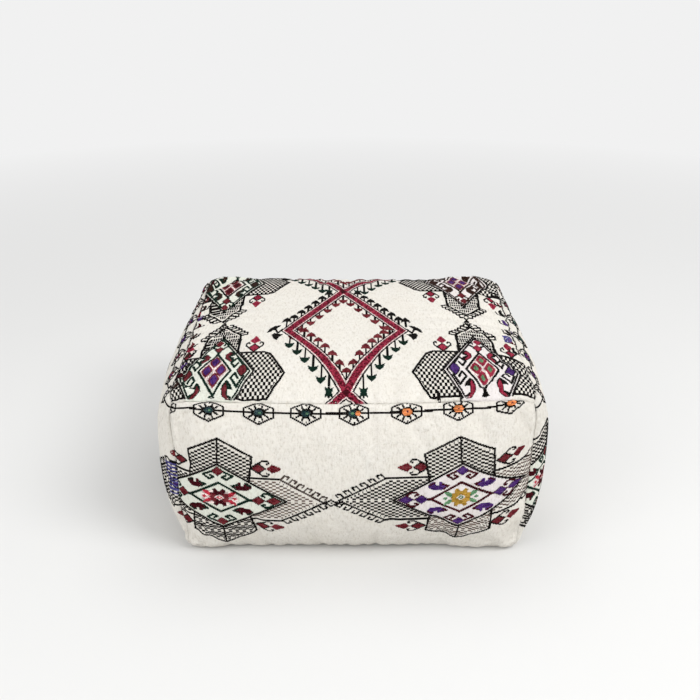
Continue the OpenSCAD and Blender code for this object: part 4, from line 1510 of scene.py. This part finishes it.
def stitch_object(name, paths, length, gap):
    """The stitches of a seam as one object that rides with the cushion."""
    points, faces, weave = threads(paths, length, gap)
    made = mesh_object(name, points, faces)
    add_map(made, "weave", weave[read(made.data.loops, "vertex_index", 1, int)[:, 0]] * MM)
    made.data.materials.append(thread)
    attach(made, "cushion")
    print(name, len(points) // STITCH_POINTS, "stitches")
    return made


# %% Sew the canvas
def run_along_zip(y, reach_x):
    return points_at(np.linspace(-reach_x, reach_x, 200), y, canvas_low(y))


def run_along_rim(way, inset):
    """A row beside the rim of one half, from the tunnel at the left round to the tunnel at the right."""
    x, y = foot_grid(way * np.array([HALF_FOOT]), inset, CANVAS_COLS)
    across = np.stack([x[:, 0], y[:, 0]], -1)
    reach_y = np.abs(y[[0, -1], 0])
    ends = []
    for side, sign, reach in (("left", -1, reach_y[0]), ("right", 1, reach_y[1])):
        down = way * np.linspace(LEVEL_Y, reach, 60)
        far = np.interp(down, edge[side][:, 1], np.abs(edge[side][:, 0])) - inset
        ends.append(np.stack([sign * far, down], -1))
    path = np.concatenate([ends[0], across[1:-1], ends[1][::-1]])
    return points_at(*path.T, CANVAS_LIFT)


STITCH, STITCH_GAP, SEAM_REACH, ZIP_ROWS, RIM_ROWS = 3.4, 0.9, 262, (10.2, 17.4), (6.0, 9.0)
for way, name in ((-1, "front"), (1, "back")):
    half = closed_sheets("canvas_" + name, [canvas_half(way)], canvas)
    rows = [run_along_zip(way * y, SEAM_REACH) for y in ZIP_ROWS]
    rows += [run_along_rim(way, inset) for inset in RIM_ROWS]
    seam = stitch_object("canvas_stitches_" + name, rows, STITCH, STITCH_GAP)
    settle(half, "base_panel_" + name, CANVAS_FLAT)

# %% Tabs and tapes of the zip
TAB_X, TAB_Z, TAB_GAP, SLOT_Y = 229.1, (4.5, 5.9), 1.0, 7.9
TAPE_X, TAPE_Y, TAPE_Z, TAPE_CUT = 237.1, (3.25, 12.5), (6.02, 6.58), 10.0
BARS, BAR_FIRST, BAR_STEP, BAR_Y, BAR_Z = 9, 1.2, 0.55, 6.5, 4.45
BAR_STITCH, BAR_GAP = 6.0, 0.25


def strip(x_ends, y_ends, z_ends, cols, rows):
    """A flat strip of cloth between two heights, its lower face outwards."""
    x, y = grid_places(x_ends, y_ends, cols, rows)
    low, high = (points_at(x, y, z) for z in z_ends)
    return low, high, spread_out(x, y), True


for way, name in ((-1, "left"), (1, "right")):
    outer_x = abs(float(np.interp(0, edge[name][:, 1], edge[name][:, 0]))) - TAB_GAP
    ends = sorted((way * TAB_X, way * outer_x))
    tab = closed_sheets("tab_" + name, [strip(ends, (-SLOT_Y, SLOT_Y), TAB_Z, 20, 8)], canvas)
    bars_x = way * (TAB_X + BAR_FIRST + BAR_STEP * np.arange(BARS))
    bars = [points_at(x, (-BAR_Y, BAR_Y), BAR_Z) for x in bars_x]
    tack = stitch_object("bar_tack_" + name, bars, BAR_STITCH, BAR_GAP)
    flat = (outer_x - TAB_X, 2 * SLOT_Y)
    settle(tab, "zip_end_tab_" + name, flat)
for way, name in ((-1, "front"), (1, "back")):
    ends = sorted(way * y for y in TAPE_Y)
    part = strip((-TAPE_X, TAPE_X), ends, TAPE_Z, 160, 8)
    tape = closed_sheets("tape_" + name, [part], tape_cloth)
    settle(tape, "zip_tape_" + name, (2 * TAPE_X, TAPE_CUT))

# %% Metal and plastic of the zip
def aged_brass(name):
    """Brass that darkened in its hollows and was rubbed bright where fingers and cloth pass."""
    finish = Finish(name, 0.35, Metallic=1.0)
    at = finish.place()
    patina = finish.noise(at, 260, 4, 0.65)
    fine = finish.noise(at, 1500, 3, 0.6)
    scratches = finish.noise(at, 700, 2, 0.6, (0.12, 1, 1))
    share = (patina * 1.8 - 0.55).clamped()
    base = finish.mix(share, colour((120, 86, 48)), colour((206, 172, 112)))
    return finish.done(base, 0.52 - share * 0.2 + scratches * 0.12, fine * 0.5 + scratches, 0.05)


def matt_plastic(name, rgb):
    """Moulded plastic with a fine grain, paler along the rubbed tops of the teeth."""
    finish = Finish(name, 0.5)
    at = finish.place()
    grain = finish.noise(at, 2200, 2, 0.6)
    cloud = finish.noise(at, 90, 3, 0.6)
    base = finish.mix((cloud * 1.8 - 0.5).clamped(), colour(rgb, 0.7), colour(rgb, 1.12))
    return finish.done(base, 0.46 + grain * 0.16, grain, 0.04)


def dress(node, material):
    """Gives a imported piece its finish; its mesh stays as it is."""
    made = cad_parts[node]
    if made.material_slots:
        made.material_slots[0].material = material
    else:
        made.data.materials.append(material)


brass = aged_brass("aged_brass")
teeth = matt_plastic("zip_plastic", (150, 143, 128))
for node in ("zip_slider", "zip_pull", "zip_top_stops", "zip_bottom_stop"):
    dress(node, brass)
for node in ("zip_teeth_front", "zip_teeth_back"):
    dress(node, teeth)
print("zip dressed")

# %% [markdown]
# ## The room, the lamps and the camera
# The floor and the air are plain and pale, one large soft lamp stands to the right, and the camera is set
# at the height and with the lens that the pouf's corners were measured with.

# %% Floor
FAR_GREY, FLOOR_REACH = 0.88, 40000
DIRECT_RAYS = ("Is Camera Ray", "Is Glossy Ray", "Is Transmission Ray")


def seen_directly(finish):
    """1 for what the camera sees, also in a mirror or through glass, and 0 for what lights the scene."""
    rays = finish.add("LightPath", {}, {}).link.node.outputs
    straight, mirrored, through = (Socket(finish, rays[name]) for name in DIRECT_RAYS)
    return (straight + mirrored + through).clamped()


def stage_floor():
    """A pale floor that keeps the pouf's shadow near it and fades to an even tone far away."""
    ways = ((-1, -1), (1, -1), (1, 1), (-1, 1))
    corners = [(FLOOR_REACH * x, FLOOR_REACH * y, 0) for x, y in ways]
    floor = mesh_object("floor", corners, [(0, 1, 2, 3)], False)
    finish = Finish("pale_floor", 0.9, Specular_IOR_Level=0.0)
    finish.set("Base Color", colour((225, 225, 224)))
    away = finish.add("VectorMath", {"operation": "LENGTH"}, {0: finish.place()}, "Value")
    share = ((away - 1.1) * 0.5).clamped() * seen_directly(finish)
    glow = finish.add("Emission", {}, {"Color": (FAR_GREY, FAR_GREY, FAR_GREY, 1), "Strength": 1.0})
    shaded = Socket(finish, finish.shader.outputs[0])
    mixed = finish.add("MixShader", {}, {0: share, 1: shaded, 2: glow})
    finish.tree.links.new(mixed.link, finish.tree.nodes["Material Output"].inputs["Surface"])
    floor.data.materials.append(finish.material)
    floor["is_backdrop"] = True


stage_floor()
print("floor:", 2 * FLOOR_REACH * MM, "m wide")

# %% Air
AIR = 0.68
world = bpy.data.worlds.new("air")
bpy.context.scene.world = world
world.use_nodes = True
air = world.node_tree
background = air.nodes["Background"]
rays = air.nodes.new("ShaderNodeLightPath")
level = air.nodes.new("ShaderNodeMapRange")
level.inputs["To Min"].default_value, level.inputs["To Max"].default_value = AIR, FAR_GREY
air.links.new(rays.outputs["Is Camera Ray"], level.inputs["Value"])
air.links.new(level.outputs["Result"], background.inputs["Strength"])
background.inputs["Color"].default_value = (1, 1, 1, 1)
print("air:", AIR, "and", FAR_GREY, "where the camera sees it")

# %% Lamps
AIM = (0, 0, 0.15)


def lamp(name, at, size, power):
    """A round lamp that is aimed at the middle of the pouf."""
    light = bpy.data.lights.new(name, "AREA")
    light.shape, light.size, light.energy = "DISK", size, power
    made = placed(name, light)
    made.location = at
    made.rotation_euler = (Vector(AIM) - Vector(at)).to_track_quat("-Z", "Y").to_euler()


lamp("key", (2.2, -1.7, 3.0), 2.0, 74)
lamp("fill", (-2.2, -2.1, 1.6), 2.2, 26)
lamp("overhead", (0.2, 0.7, 3.0), 2.4, 16)
print("lamps:", len(bpy.data.lights))

# %% Camera
camera_data = bpy.data.cameras.new("camera")
camera_data.lens = 52.97
camera_data.sensor_width = 36
camera = placed("camera", camera_data)
camera.location = (-0.004, -1.792, 1.045)
camera.rotation_euler = (math.radians(66.2), 0, 0)
bpy.context.scene.camera = camera
bpy.context.scene.view_settings.view_transform = "Standard"
print("camera:", camera_data.lens, "mm lens")

# %% Print the sizes and finish
made_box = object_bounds()
for name, box in (("CAD box:", cad_box), ("dressed:", made_box)):
    print(name, [round(value, 4) for corner in box for value in corner])
